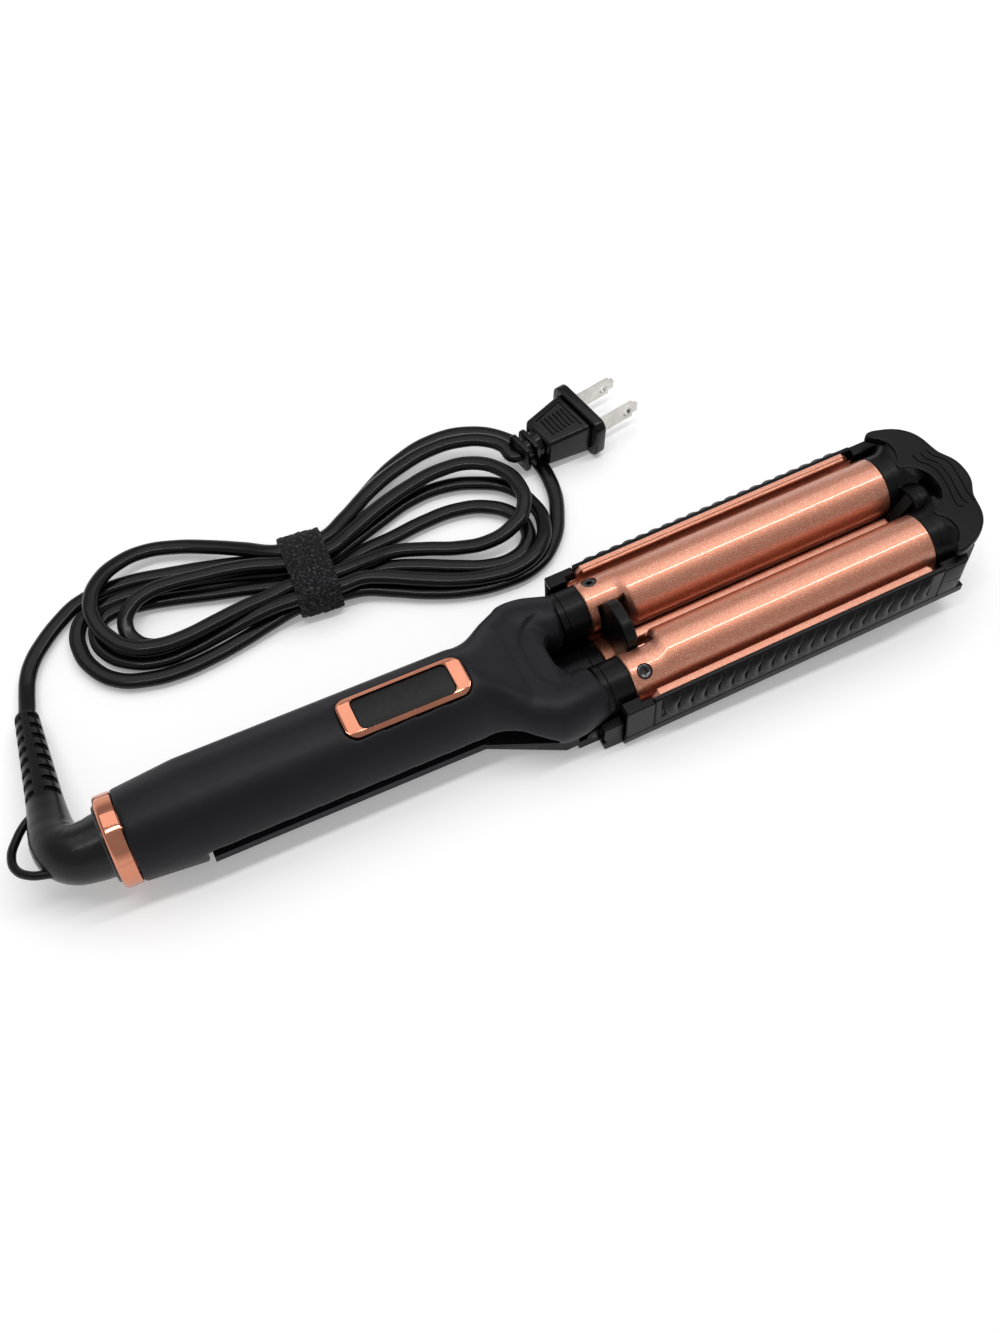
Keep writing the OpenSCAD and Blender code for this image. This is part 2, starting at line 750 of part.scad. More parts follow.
// Black end of the centre barrel, with a round knob between the bells of the upper barrels
module centre_nose() {
    nose_x = centre_end + 0.1;
    color(black) in_frame() in_head() {
        intersection() {
            union() {
                taper(barrel_r - 0.1, nose_r, nose_x, bell_x, 0, -barrel_drop);
                rod(nose_r, bell_x, knob_end, 0, -barrel_drop);
            }
            slab(nose_x, knob_end, -20, 20, floor_z, 0);
        }
        translate([0, rail_half, 0]) rotate([90, 0, 0]) linear_extrude(height = 2 * rail_half)
            polygon([[nose_x, floor_z], [nose_x, rail_top],
                [knob_x + 0.1, knob_z + knob_r - 1], [knob_x + 0.1, floor_z]]);
        slab(knob_x, knob_end - 1, 0.3 - knob_r, knob_r - 0.3, floor_z, knob_z);
        taper(knob_r - 0.5, knob_r, knob_x, knob_x + 0.5, 0, knob_z);
        rod(knob_r, knob_x + 0.5, knob_end - 1, 0, knob_z);
        taper(knob_r, knob_r - 1, knob_end - 1, knob_end, 0, knob_z);
    }
}

module hair_guard() {
    color(black) in_frame() in_head() difference() {
        translate([guard_x, 0, 0]) rotate([90, 0, 90]) linear_extrude(height = guard_t)
            hull() {
                translate([-guard_w / 2, -9]) square([guard_w, 8]);
                for (y = [-1, 1]) translate([y * (guard_w / 2 - guard_round), guard_top - guard_round])
                    circle(r = guard_round);
            }
        rod(barrel_r + 0.02, 0, 20, 0, -barrel_drop);
    }
}

// Heated wing: a trough under its upper barrel that ends in an upright plate
module wing_profile(top) {
    difference() {
        union() {
            intersection() {
                translate([barrel_y, 0]) circle(r = barrel_r + plate_gap + plate_t);
                translate([0, -30]) square([plate_y - 0.05, 30]);
            }
            translate([plate_y - 0.05 - plate_t, side_top - 2])
                square([plate_t, top - side_top + 2]);
        }
        translate([barrel_y, 0]) circle(r = barrel_r + plate_gap);
        translate([barrel_y - 20, 0]) square([20, 30]);
        translate([-20, -30]) square([20 + barrel_y - 6.9, 60]);
        translate([0, -barrel_drop]) circle(r = barrel_r + 0.25);
        translate([-1, -60]) square([60, 60 + floor_z + 0.05]);
    }
}

module wing_plate(side) {
    color(copper) in_frame() in_head() on_side(side) {
        along_x(0.2 + ledge_len, barrel_len - 2.6) wing_profile(plate_top);
        for (x = [0.2, barrel_len - 2.6]) along_x(x, x + ledge_len) intersection() {
            wing_profile(ledge_top);
            translate([0, -30]) square([plate_y - 1.2, 60]);
        }
    }
}

module wing_cover(side) {
    notches = 20;
    pitch = (barrel_len - 12) / notches;
    color(black) in_frame() in_head() on_side(side) difference() {
        slab(block_x1 + 0.05, barrel_len - 0.7, plate_y, clamp_half, side_top, cover_rise);
        for (k = [0:notches - 1]) translate([8.5 + pitch * k, clamp_half + 2.9, -6.5])
            cylinder(r = 3.6, h = 9);
    }
}

module wing_end_blocks() {
    color(black) in_frame() in_head() both_sides() difference() {
        slab(block_x0, block_x1, plate_y - 2.8, clamp_half, side_top, cover_rise);
        slab(block_x0 - 1, block_x1 - 2, plate_y - 2, clamp_half - 1.1, side_top + 1.4, cover_rise - 2);
        slab(-0.2, block_x1 + 1, 0, plate_y - 1, -20, cover_rise + 1);
    }
}

module wing_tip_caps() {
    color(black) in_frame() in_head() both_sides() difference() {
        slab(barrel_len - 0.65, tray_x1, plate_y - 2.2, clamp_half, side_top, cover_rise);
        slab(barrel_len - 1, barrel_len + 0.6, 0, plate_y, -20, cover_rise + 1);
    }
}

// ---- cord, plug and swivel ----

module on_swivel() {
    in_frame() translate([0, 0, handle_z]) rotate([-swivel_rest, 0, 0]) children();
}

module elbow_horn() {
    sweep([[elbow_x - 0.8, 0, 0], [elbow_x - 5, 0, 0], [elbow_x - 8.5, 0.8, 0],
        [elbow_x - 11.2, 3.2, 0], [elbow_x - 12.6, 6.8, 0], [elbow_x - 13, 11, 0],
        [elbow_x - 12.8, 16, 0], [elbow_x - 12.5, relief_y, 0]],
        [9.2, 8.6, 8.3, 7.9, 7.2, 6.4, 5.7, 5.3], 24);
}

module swivel_elbow() {
    color(black) on_swivel() difference() {
        union() {
            elbow_horn();
            rod(tail_bore - 0.2, elbow_x - 0.9, ring_x - 1.6, 0, 0);
            rod(journal_r, elbow_x, ring_x + 15, 0, 0);
            rod(8, ring_x + 13.3, ring_x + 15, 0, 0);
        }
        rod(3, elbow_x - 2, ring_x + 16, 0, 0);
    }
}

// Ribbed sleeve that tapers from the elbow to the cord
module strain_relief() {
    rib = relief_len / relief_ribs;
    function core(t) = relief_r0 + (relief_r1 - relief_r0) * t;
    color(black) on_swivel() translate([elbow_x - 12.5, relief_y + run_gap, 0])
        rotate([-90, 0, -relief_splay]) rotate_extrude() polygon(concat([[0, 0]],
            [for (k = [0:relief_ribs - 1]) each [
                [core(k / relief_ribs), rib * k],
                [core((k + 0.6) / relief_ribs), rib * (k + 0.6)],
                [core((k + 0.6) / relief_ribs) - 0.9, rib * (k + 0.62)],
                [core((k + 1) / relief_ribs) - 0.9, rib * (k + 0.98)]]],
            [[relief_r1, relief_len], [0, relief_len]]));
}

module hang_loop() {
    color(black) on_swivel() difference() {
        sweep([[elbow_x - 16, 19.5, 0], [elbow_x - 19, 17.5, 0], [elbow_x - 22.5, 13, 0],
            [elbow_x - 24.6, 8.5, 0], [elbow_x - 24.4, 3.5, 0], [elbow_x - 21.5, 0, 0],
            [elbow_x - 17, -2, 0], [elbow_x - 12, -3.6, 0], [elbow_x - 8, -5, 0]],
            [for (i = [0:8]) loop_r], 10);
        elbow_horn();
    }
}

module hank_outline() {
    hull() {
        translate([-115.5, 74.5]) circle(r = 25.5);
        translate([-82, 67.5]) circle(r = 13.5);
    }
    hull() {
        translate([-13.7, 71.4]) circle(r = 33.5);
        translate([-50, 66.5]) circle(r = 13.5);
    }
}

module hank_neck() {
    translate([-66.2, 66.8, 0]) rotate([0, 0, -5]) children();
}

module cord_hank() {
    color(black) in_frame() {
        difference() {
            linear_extrude(height = hank_h) hank_outline();
            hank_neck() translate([-7.6, -30, -1]) cube([15.2, 60, 20]);
        }
        hank_neck() translate([-7.7, -12, 1.7]) cube([15.4, 24, hank_h - 1.7]);
    }
}

module cord_tie() {
    color(soft_black) in_frame() hank_neck() translate([-tie_len / 2, 0, hank_h / 2 + 0.9])
        rotate([90, 0, 90]) linear_extrude(height = tie_len) difference() {
            rounded(tie_w, hank_h + 1.8, 3.5);
            translate([tie_wall - tie_w / 2, -hank_h / 2 + 0.75])
                square([tie_w - 2 * tie_wall, hank_h - 1.6]);
        }
}

module cord_lead() {
    relief_out = relief_y + run_gap + relief_len * cos(relief_splay);
    relief_tip = [elbow_x - 12.5 + relief_len * sin(relief_splay),
        relief_out * cos(swivel_rest), handle_z - relief_out * sin(swivel_rest)];
    route = concat([relief_tip - [0, 0.5, -0.1]], lead_route);
    color(black) in_frame() difference() {
        sweep(route, [for (p = route) cord_r], 10);
        linear_extrude(height = 30) hank_outline();
        translate(relief_tip) rotate([-swivel_rest, 0, 0]) rotate([0, 0, -relief_splay])
            translate([-10, -10, -10]) cube([20, 10.02, 20]);
    }
}

module at_plug() {
    translate([plug_at[0], plug_at[1], plug_axis_z]) rotate([0, 0, plug_turn]) children();
}

module plug_collar() {
    color(black) in_frame() difference() {
        at_plug() translate([-flange_t - plug_len - plug_collar_len, 0, 0]) difference() {
            taper(3.8, 5, 0, plug_collar_len - 0.02);
            for (x = [2.2, 5]) difference() {
                rod(8, x, x + 1.2);
                rod(3.2, x - 1, x + 3);
            }
        }
        linear_extrude(height = 40) hank_outline();
    }
}

module plug_body() {
    color(black) in_frame() at_plug() difference() {
        union() {
            hull() {
                slab(-flange_t - 0.5, -flange_t, -9, 9, -6.2, 6.2);
                slab(-flange_t - plug_len, -flange_t - plug_len + 0.5, -6.4, 6.4, -5.2, 5.2);
            }
            slab(-flange_t - e, 0, -12, 12, -plug_axis_z + 0.1, plug_axis_z - 0.1);
        }
        for (y = [-blade_pitch / 2, blade_pitch / 2])
            slab(-8, 1, y - blade_t / 2 - e, y + blade_t / 2 + e, -blade_h / 2 - e, blade_h / 2 + e);
    }
}

module plug_blades() {
    color(steel) in_frame() at_plug() for (y = [-blade_pitch / 2, blade_pitch / 2]) difference() {
        union() {
            slab(-7.9, blade_len - 2, y - blade_t / 2, y + blade_t / 2, -blade_h / 2, blade_h / 2);
            slab(-7.9, blade_len, y - blade_t / 2, y + blade_t / 2, -blade_h / 2 + 1.5, blade_h / 2 - 1.5);
        }
        cross_rod(1.6, y - 3, y + 3, blade_len - 4.5, 0);
    }
}

handle_top_shell();
handle_liner();
handle_screws();
end_ring();
swivel_socket();
display_bezel();
circuit_board();
tact_switches();
wiring_harness();
collar(1);  // collar_left
collar(-1);  // collar_right
upper_barrel(1);  // upper_barrel_left
upper_barrel(-1);  // upper_barrel_right
barrel_screws();
heater(1);  // heater_left
heater(-1);  // heater_right
thermal_fuse();
end_cap(1);  // end_cap_left
end_cap(-1);  // end_cap_right
cool_tip();
tip_screws();
hinge_pin();
return_spring();
clamp_body();
lever();
centre_barrel();
centre_heater();
centre_collar();
centre_nose();
hair_guard();
wing_plate(1);  // wing_plate_left
wing_plate(-1);  // wing_plate_right
wing_cover(1);  // wing_cover_left
wing_cover(-1);  // wing_cover_right
wing_end_blocks();
wing_tip_caps();
clamp_screws();
control_pad();
swivel_elbow();
strain_relief();
hang_loop();
cord_lead();
cord_hank();
cord_tie();
plug_collar();
plug_body();
plug_blades();
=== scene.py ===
import logging
import math
from dataclasses import dataclass
from enum import Enum
from typing import Callable, Sequence

import bmesh
import bpy
from mathutils import Matrix, Vector, noise


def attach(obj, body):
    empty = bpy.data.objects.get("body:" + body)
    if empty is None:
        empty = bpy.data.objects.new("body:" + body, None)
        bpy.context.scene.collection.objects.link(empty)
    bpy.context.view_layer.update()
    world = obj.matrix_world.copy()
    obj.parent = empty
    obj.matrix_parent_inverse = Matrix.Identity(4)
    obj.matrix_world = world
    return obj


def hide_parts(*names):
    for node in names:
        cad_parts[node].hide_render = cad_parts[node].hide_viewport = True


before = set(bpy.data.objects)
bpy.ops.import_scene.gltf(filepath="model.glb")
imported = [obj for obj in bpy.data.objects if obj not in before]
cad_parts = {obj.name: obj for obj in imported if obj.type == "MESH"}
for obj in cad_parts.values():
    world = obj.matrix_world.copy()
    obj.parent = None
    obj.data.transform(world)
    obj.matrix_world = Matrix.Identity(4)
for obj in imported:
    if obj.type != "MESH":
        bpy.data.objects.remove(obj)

log = logging.getLogger("hair_waver")

Point = tuple[float, float, float]
Colour = tuple[float, float, float]
Mesh = bmesh.types.BMesh
Object = bpy.types.Object
Socket = bpy.types.NodeSocket


def placed(at: Point, turn: float = 0.0, axis: str = "Z") -> Matrix:
    """Place at a point, turned by some degrees about an axis."""
    return Matrix.Translation(at) @ Matrix.Rotation(math.radians(turn), 4, axis)


def held(value: float) -> float:
    """Value held between 0 and 1."""
    return max(0.0, min(1.0, value))


# ---- places: each turns millimetres in its own frame into metres in the model's frame ----

MM = 0.001
ORIGIN_X = 26.157
METRES = Matrix.Scale(MM, 4)
HANDLE = METRES @ placed((ORIGIN_X, 0, 16.3))
HEAD = METRES @ placed((ORIGIN_X, 0, 14.495), -3.4, "Y")
SWIVEL = HANDLE @ placed((0, 0, 0), -12, "X")
RELIEF = SWIVEL @ placed((-161.5, 20.52, 0), 86.5)
PLUG = METRES @ placed((ORIGIN_X + 39, 86.3, 7.6), 11)
TIE = METRES @ placed((ORIGIN_X - 66.2, 66.8, 6.4), -5)


class Body(Enum):
    """Moving bodies of the model."""

    ROOT = "root"
    CLAMP = "clamp"
    PAD = "control_pad"
    SWIVEL = "cord_swivel"


class Side(Enum):
    """The two sides of the waver, seen from the handle."""

    LEFT = 1
    RIGHT = -1

    @property
    def word(self) -> str:
        """Name of the side, as node names have it."""
        return self.name.lower()

    @property
    def place(self) -> Matrix:
        """Head frame of this side, mirrored for the right."""
        return HEAD @ self.mirror

    @property
    def mirror(self) -> Matrix:
        """Mirror across the middle for the right, and nothing for the left."""
        return Matrix.Diagonal((1, self.value, 1, 1))


# ---- finishes ----

@dataclass
class Nodes:
    """A node tree and the ways to fill it."""

    tree: bpy.types.NodeTree

    def wire(self, node: bpy.types.Node, **inputs: object) -> bpy.types.Node:
        """Sets inputs of a node.

        Args:
            node: the node.
            inputs: a value or a socket for each, named with underscores for spaces.

        Returns:
            The same node.
        """
        for name, value in inputs.items():
            socket = node.inputs[name.replace("_", " ")]
            if isinstance(value, Socket):
                self.tree.links.new(value, socket)
            else:
                socket.default_value = value
        return node

    def add(self, kind: str, **inputs: object) -> bpy.types.Node:
        """Adds a shader node and sets its inputs."""
        return self.wire(self.tree.nodes.new("ShaderNode" + kind), **inputs)

    def noise(self, vector: Socket, size: float, detail: float) -> Socket:
        """Noise from 0 to 1, with spots of a size in millimetres and a number of octaves."""
        spots = self.add("TexNoise", Vector=vector, Scale=1 / (size * MM), Detail=detail)
        return spots.outputs["Fac"]

    def ramp(self, value: Socket, start: float, end: float, low: float, high: float) -> Socket:
        """Value mapped from the range start to end onto low to high, clamped."""
        return self.add("MapRange", Value=value, From_Min=start, From_Max=end, To_Min=low,
                        To_Max=high).outputs["Result"]

    def blend(self, share: Socket, under: Socket | Sequence[float],
              over: Sequence[float]) -> Socket:
        """Blends two colours.

        Args:
            share: share of the second colour, from 0 to 1.
            under: the first colour.
            over: the second colour.

        Returns:
            The colour.
        """
        made = self.add("Mix")
        made.data_type = "RGBA"
        return self.wire(made, Factor=share, A=under, B=over).outputs["Result"]


@dataclass(frozen=True)
class Finish:
    """A procedural surface finish on Object coordinates.

    Lengths are in millimetres. The grain is a fine relief, the mottle a slow drift in colour
    and roughness, and the fleck a fine metallic speckle.
    """

    slot: str
    colour: Colour
    shade: Colour
    roughness: tuple[float, float]
    metallic: float = 0.0
    specular: float = 0.5
    grain: float = 0.5
    depth: float = 0.01
    stretch: Point = (1.0, 1.0, 1.0)
    mottle: float = 12.0
    fleck: float = 0.0
    fleck_colour: Colour = (1.0, 1.0, 1.0)
    fleck_share: float = 0.0
    fleck_from: float = 0.56
    sheen: float = 0.0
    coat: float = 0.0
    coat_roughness: float = 0.12

    def material(self) -> bpy.types.Material:
        """Finds or makes the material.

        Returns:
            The material.
        """
        found = bpy.data.materials.get(self.slot)
        if found and found.get("made_here"):
            return found
        made = bpy.data.materials.new(self.slot)
        made["made_here"] = True
        made.use_nodes = True
        made.diffuse_color = (*self.colour, 1)
        self.fill(Nodes(made.node_tree))
        return made

    def fill(self, nodes: Nodes) -> None:
        """Builds the nodes.

        Args:
            nodes: the new material's nodes.
        """
        noise_start, noise_end, fleck_edge = 0.3, 0.7, 0.14
        where = nodes.add("TexCoord").outputs["Object"]
        turned = nodes.add("Mapping", Vector=where, Scale=self.stretch).outputs["Vector"]
        slow = nodes.noise(where, self.mottle, 3)
        fine = nodes.noise(turned, self.grain, 5)
        colour = nodes.blend(nodes.ramp(slow, noise_start, noise_end, 0.0, 1.0),
                             (*self.shade, 1), (*self.colour, 1))
        if self.fleck:
            lit = nodes.ramp(nodes.noise(where, self.fleck, 2), self.fleck_from,
                             self.fleck_from + fleck_edge, 0.0, self.fleck_share)
            colour = nodes.blend(lit, colour, (*self.fleck_colour, 1))
        bump = nodes.add("Bump", Strength=1.0, Distance=self.depth * MM, Height=fine)
        nodes.wire(nodes.tree.nodes["Principled BSDF"], Base_Color=colour,
                   Roughness=nodes.ramp(fine, noise_start, noise_end, *self.roughness),
                   Metallic=self.metallic, Specular_IOR_Level=self.specular,
                   Sheen_Weight=self.sheen, Sheen_Roughness=0.4, Coat_Weight=self.coat,
                   Coat_Roughness=self.coat_roughness, Normal=bump.outputs["Normal"])



SOFT_BLACK = Finish("soft_black", (0.0072, 0.0072, 0.0095), (0.0052, 0.0052, 0.0072), (0.40, 0.50),
                    specular=0.2, grain=0.35, depth=0.006, sheen=0.02)
MOULDED_BLACK = Finish("moulded_black", (0.0046, 0.0046, 0.0054), (0.003, 0.003, 0.0037),
                       (0.30, 0.42), specular=0.15, grain=0.5, depth=0.012)
GLOSS_BLACK = Finish("gloss_black", (0.0045, 0.0045, 0.0052), (0.003, 0.003, 0.0036), (0.24, 0.32),
                     specular=0.3, grain=1.6, depth=0.01)
PAD_BLACK = Finish("pad_black", (0.009, 0.009, 0.009), (0.005, 0.005, 0.005), (0.45, 0.62),
                   specular=0.25, grain=0.45, depth=0.05, mottle=4)
COPPER = Finish("copper_coat", (0.65, 0.262, 0.165), (0.50, 0.185, 0.108), (0.40, 0.52),
                metallic=1.0, grain=0.3, depth=0.016, mottle=0.34, fleck=0.3,
                fleck_colour=(1.0, 0.70, 0.54), fleck_share=0.55, fleck_from=0.54, coat=1.0,
                coat_roughness=0.085)
ROSE_GOLD = Finish("rose_gold", (0.66, 0.275, 0.175), (0.58, 0.225, 0.14), (0.08, 0.13),
                   metallic=1.0, grain=3.0, depth=0.006)
STEEL = Finish("steel", (0.58, 0.58, 0.57), (0.46, 0.46, 0.46), (0.24, 0.36), metallic=1.0,
               stretch=(0.2, 1, 1))
DARK_STEEL = Finish("dark_steel", (0.10, 0.10, 0.105), (0.06, 0.06, 0.065), (0.22, 0.34),
                    metallic=1.0)
NICKEL = Finish("nickel", (0.68, 0.66, 0.62), (0.55, 0.53, 0.50), (0.22, 0.38), metallic=1.0,
                grain=0.6, depth=0.008, stretch=(0.15, 1, 1), mottle=5)
BOARD_GREEN = Finish("board_green", (0.03, 0.16, 0.06), (0.02, 0.11, 0.045), (0.3, 0.4), mottle=3)
WIRE_RED = Finish("wire_red", (0.42, 0.03, 0.025), (0.33, 0.02, 0.02), (0.4, 0.5))
HEATER_ALLOY = Finish("heater_alloy", (0.74, 0.74, 0.73), (0.6, 0.6, 0.6), (0.32, 0.44),
                      metallic=1.0, stretch=(0.15, 1, 1))
CERAMIC = Finish("ceramic_white", (0.8, 0.78, 0.72), (0.72, 0.7, 0.64), (0.3, 0.42))
CORD_RUBBER = Finish("cord_rubber", (0.0032, 0.0032, 0.0035), (0.002, 0.002, 0.0022), (0.17, 0.25),
                     specular=0.24, grain=1.2, depth=0.008)
TIE_FABRIC = Finish("tie_fabric", (0.005, 0.005, 0.0055), (0.0015, 0.0015, 0.0015), (0.7, 0.9),
                    specular=0.25, grain=0.6, depth=0.5, mottle=1.2, fleck=0.9,
                    fleck_colour=(0.05, 0.05, 0.055), fleck_share=0.9, fleck_from=0.52, sheen=0.06)


# ---- shapes, in millimetres ----

def spun(profile: Sequence[tuple[float, float]], steps: int = 96, y: float = 0.0,
         z: float = 0.0) -> Mesh:
    """Turns a closed outline about an axis along X.

    Args:
        profile: (x, radius) corners, in order round the outline.
        steps: steps of the full turn.
        y: where the axis is, across.
        z: where the axis is, up.

    Returns:
        The solid, facing outwards.
    """
    bm = bmesh.new()
    corners = [bm.verts.new((x, y + r, z)) for x, r in profile]
    edges = [bm.edges.new((a, b)) for a, b in zip(corners, corners[1:] + corners[:1])
             if a.co != b.co]
    bmesh.ops.spin(bm, geom=corners + edges, cent=(0, y, z), axis=(1, 0, 0),
                   angle=math.tau, steps=steps, use_merge=True)
    return tidy(bm)


def tidy(bm: Mesh) -> Mesh:
    """Merges doubles and faces a mesh outwards.

    Args:
        bm: the mesh, in millimetres.

    Returns:
        The same mesh.
    """
    bmesh.ops.remove_doubles(bm, verts=bm.verts, dist=1e-4)
    bmesh.ops.dissolve_degenerate(bm, edges=bm.edges, dist=1e-5)
    loose = [v for v in bm.verts if not v.link_faces]
    bmesh.ops.delete(bm, geom=loose, context="VERTS")
    return faced(bm)


def faced(bm: Mesh) -> Mesh:
    """Faces a closed mesh outwards."""
    bmesh.ops.recalc_face_normals(bm, faces=bm.faces)
    return bm


def moved(bm: Mesh, place: Matrix) -> Mesh:
    """Moves a whole mesh by a place."""
    bmesh.ops.transform(bm, matrix=place, verts=bm.verts)
    return bm


def block(low: Point, high: Point, bevel: float = 0.0, segments: int = 3) -> Mesh:
    """Makes a box with rounded edges.

    Args:
        low: lowest corner.
        high: highest corner.
        bevel: radius of its edges.
        segments: steps of each rounding.

    Returns:
        The box.
    """
    bm = bmesh.new()
    size = [b - a for a, b in zip(low, high)]
    middle = [(a + b) / 2 for a, b in zip(low, high)]
    bmesh.ops.create_cube(bm, size=1,
                          matrix=Matrix.Translation(middle) @ Matrix.Diagonal((*size, 1)))
    if bevel:
        round_edges(bm, bm.edges[:], bevel, segments)
    return bm


def slab(low: Point, high: Point, corner: float, rim: float, steps: tuple[int, int]) -> Mesh:
    """Makes a slab across X with round corners and softened rims.

    Args:
        low: lowest corner.
        high: highest corner.
        corner: radius of its four corners.
        rim: rounding of its rims.
        steps: steps of either rounding.

    Returns:
        The slab.
    """
    bm = block(low, high)
    along = [e for e in bm.edges if abs(e.verts[0].co.x - e.verts[1].co.x) > 1]
    round_edges(bm, along, corner, steps[0])
    soften(bm, rim, steps[1])
    return bm


def relief(low: Point, high: Point, cells: tuple[int, int],
           rise: Callable[[float, float], float]) -> Mesh:
    """Makes a slab whose +Y face is sculpted.

    Args:
        low: lowest corner.
        high: highest corner.
        cells: cells of the face along X and Z.
        rise: height of the face over the slab, from x and z.

    Returns:
        The slab.
    """
    bm = bmesh.new()
    middle = ((low[0] + high[0]) / 2, high[1], (low[2] + high[2]) / 2)
    spread = Matrix.Diagonal(((high[0] - low[0]) / 2, 1, (high[2] - low[2]) / 2, 1))
    bmesh.ops.create_grid(bm, x_segments=cells[0], y_segments=cells[1], size=1,
                          matrix=Matrix.Translation(middle) @ spread
                          @ Matrix.Rotation(math.radians(90), 4, "X"))
    back = bmesh.ops.extrude_face_region(bm, geom=bm.faces[:])["geom"]
    behind = {g for g in back if isinstance(g, bmesh.types.BMVert)}
    for vert in bm.verts:
        vert.co.y = low[1] if vert in behind else high[1] + rise(vert.co.x, vert.co.z)
    return faced(bm)


def extruded(bm: Mesh, by: Point) -> list[bmesh.types.BMEdge]:
    """Extrudes all faces of a sheet.

    Args:
        bm: the sheet.
        by: how far, along each axis.

    Returns:
        The edges that moved.
    """
    made = bmesh.ops.extrude_face_region(bm, geom=bm.faces[:])["geom"]
    verts = [g for g in made if isinstance(g, bmesh.types.BMVert)]
    bmesh.ops.translate(bm, verts=verts, vec=by)
    return [g for g in made if isinstance(g, bmesh.types.BMEdge)]


def round_edges(bm: Mesh, edges: Sequence[bmesh.types.BMEdge], width: float, segments: int) -> None:
    """Rounds edges of a mesh by a width, in a number of steps."""
    bmesh.ops.bevel(bm, geom=edges, offset=width, offset_type="OFFSET", affect="EDGES",
                    segments=segments, profile=0.5, material=-1, clamp_overlap=True)


def soften(bm: Mesh, width: float, segments: int) -> None:
    """Rounds the edges that turn by more than 1.2 radians."""
    round_edges(bm, [e for e in bm.edges if e.calc_face_angle(0) > 1.2], width, segments)


def joined(*parts: Mesh) -> Mesh:
    """Puts closed shapes into one mesh.

    Args:
        parts: the shapes, which are freed, apart from the first.

    Returns:
        The first shape with the others added.
    """
    first = parts[0]
    for part in parts[1:]:
        scratch = bpy.data.meshes.new("scratch")
        part.to_mesh(scratch)
        part.free()
        first.from_mesh(scratch)
        bpy.data.meshes.remove(scratch)
    return first


def linked(name: str, data: bpy.types.ID) -> Object:
    """Adds an object to the scene.

    Args:
        name: the object's name.
        data: its mesh, curve, camera or lamp.

    Returns:
        The object.
    """
    made = bpy.data.objects.new(name, data)
    bpy.context.scene.collection.objects.link(made)
    return made


def object_from(bm: Mesh, name: str) -> Object:
    """Moves a bmesh into a new object.

    Args:
        bm: the mesh, which is freed.
        name: the object's name.

    Returns:
        The object.
    """
    mesh = bpy.data.meshes.new(name)
    bm.to_mesh(mesh)
    bm.free()
    return linked(name, mesh)


def settled(made: Object) -> Mesh:
    """Applies an object's modifiers and removes the object.

    Args:
        made: the object.

    Returns:
        Its finished mesh.
    """
    graph = bpy.context.evaluated_depsgraph_get()
    graph.update()
    mesh = bpy.data.meshes.new_from_object(made.evaluated_get(graph))
    bm = bmesh.new()
    bm.from_mesh(mesh)
    bpy.data.objects.remove(made)
    bpy.data.meshes.remove(mesh)
    return bm


def carved(bm: Mesh, *cutters: Mesh) -> Mesh:
    """Cuts shapes out of a solid.

    Args:
        bm: the solid.
        cutters: the shapes, which are freed.

    Returns:
        What is left.
    """
    solid = object_from(bm, "solid")
    tools = [object_from(cutter, "cutter") for cutter in cutters]
    for tool in tools:
        cut = solid.modifiers.new("cut", "BOOLEAN")
        cut.object = tool
        cut.operation = "DIFFERENCE"
        cut.solver = "EXACT"
    left = settled(solid)
    for tool in tools:
        bpy.data.objects.remove(tool)
    return left


def cylinder(place: Matrix, radius: float, length: float, sides: int = 48) -> Mesh:
    """Makes a cylinder that rises along its place's Z from the origin.

    Args:
        place: its place.
        radius: its radius.
        length: its length.
        sides: its sides.

    Returns:
        The cylinder.
    """
    bm = bmesh.new()
    bmesh.ops.create_cone(bm, cap_ends=True, segments=sides, radius1=radius, radius2=radius,
                          depth=length, matrix=place @ Matrix.Translation((0, 0, length / 2)))
    return bm


def smooth_line(points: Sequence[Point], radii: Sequence[float], steps: int,
                closed: bool = False) -> bpy.types.Curve:
    """Makes a curve that runs smoothly through points.

    Args:
        points: the points.
        radii: radius at each point.
        steps: steps from point to point.
        closed: whether it is a flat outline that returns to its start.

    Returns:
        The curve.
    """
    curve = bpy.data.curves.new("line", "CURVE")
    if not closed:
        curve.dimensions = "3D"
        curve.twist_mode = "Z_UP"
    curve.resolution_u = steps
    line = curve.splines.new("BEZIER")
    line.use_cyclic_u = closed
    line.bezier_points.add(len(points) - 1)
    for knot, point, radius in zip(line.bezier_points, points, radii):
        knot.co = point
        knot.radius = radius
        knot.handle_left_type = knot.handle_right_type = "AUTO"
    return curve


def centreline(points: Sequence[Point], radii: Sequence[float], steps: int) -> list[Point]:
    """Follows the line of a tube.

    Args:
        points: points that the line goes through.
        radii: radius at each point.
        steps: steps from point to point.

    Returns:
        The line's points.
    """
    curve = smooth_line(points, radii, steps)
    bare = settled(linked("line", curve))
    bpy.data.curves.remove(curve)
    return [tuple(v.co) for v in bare.verts]


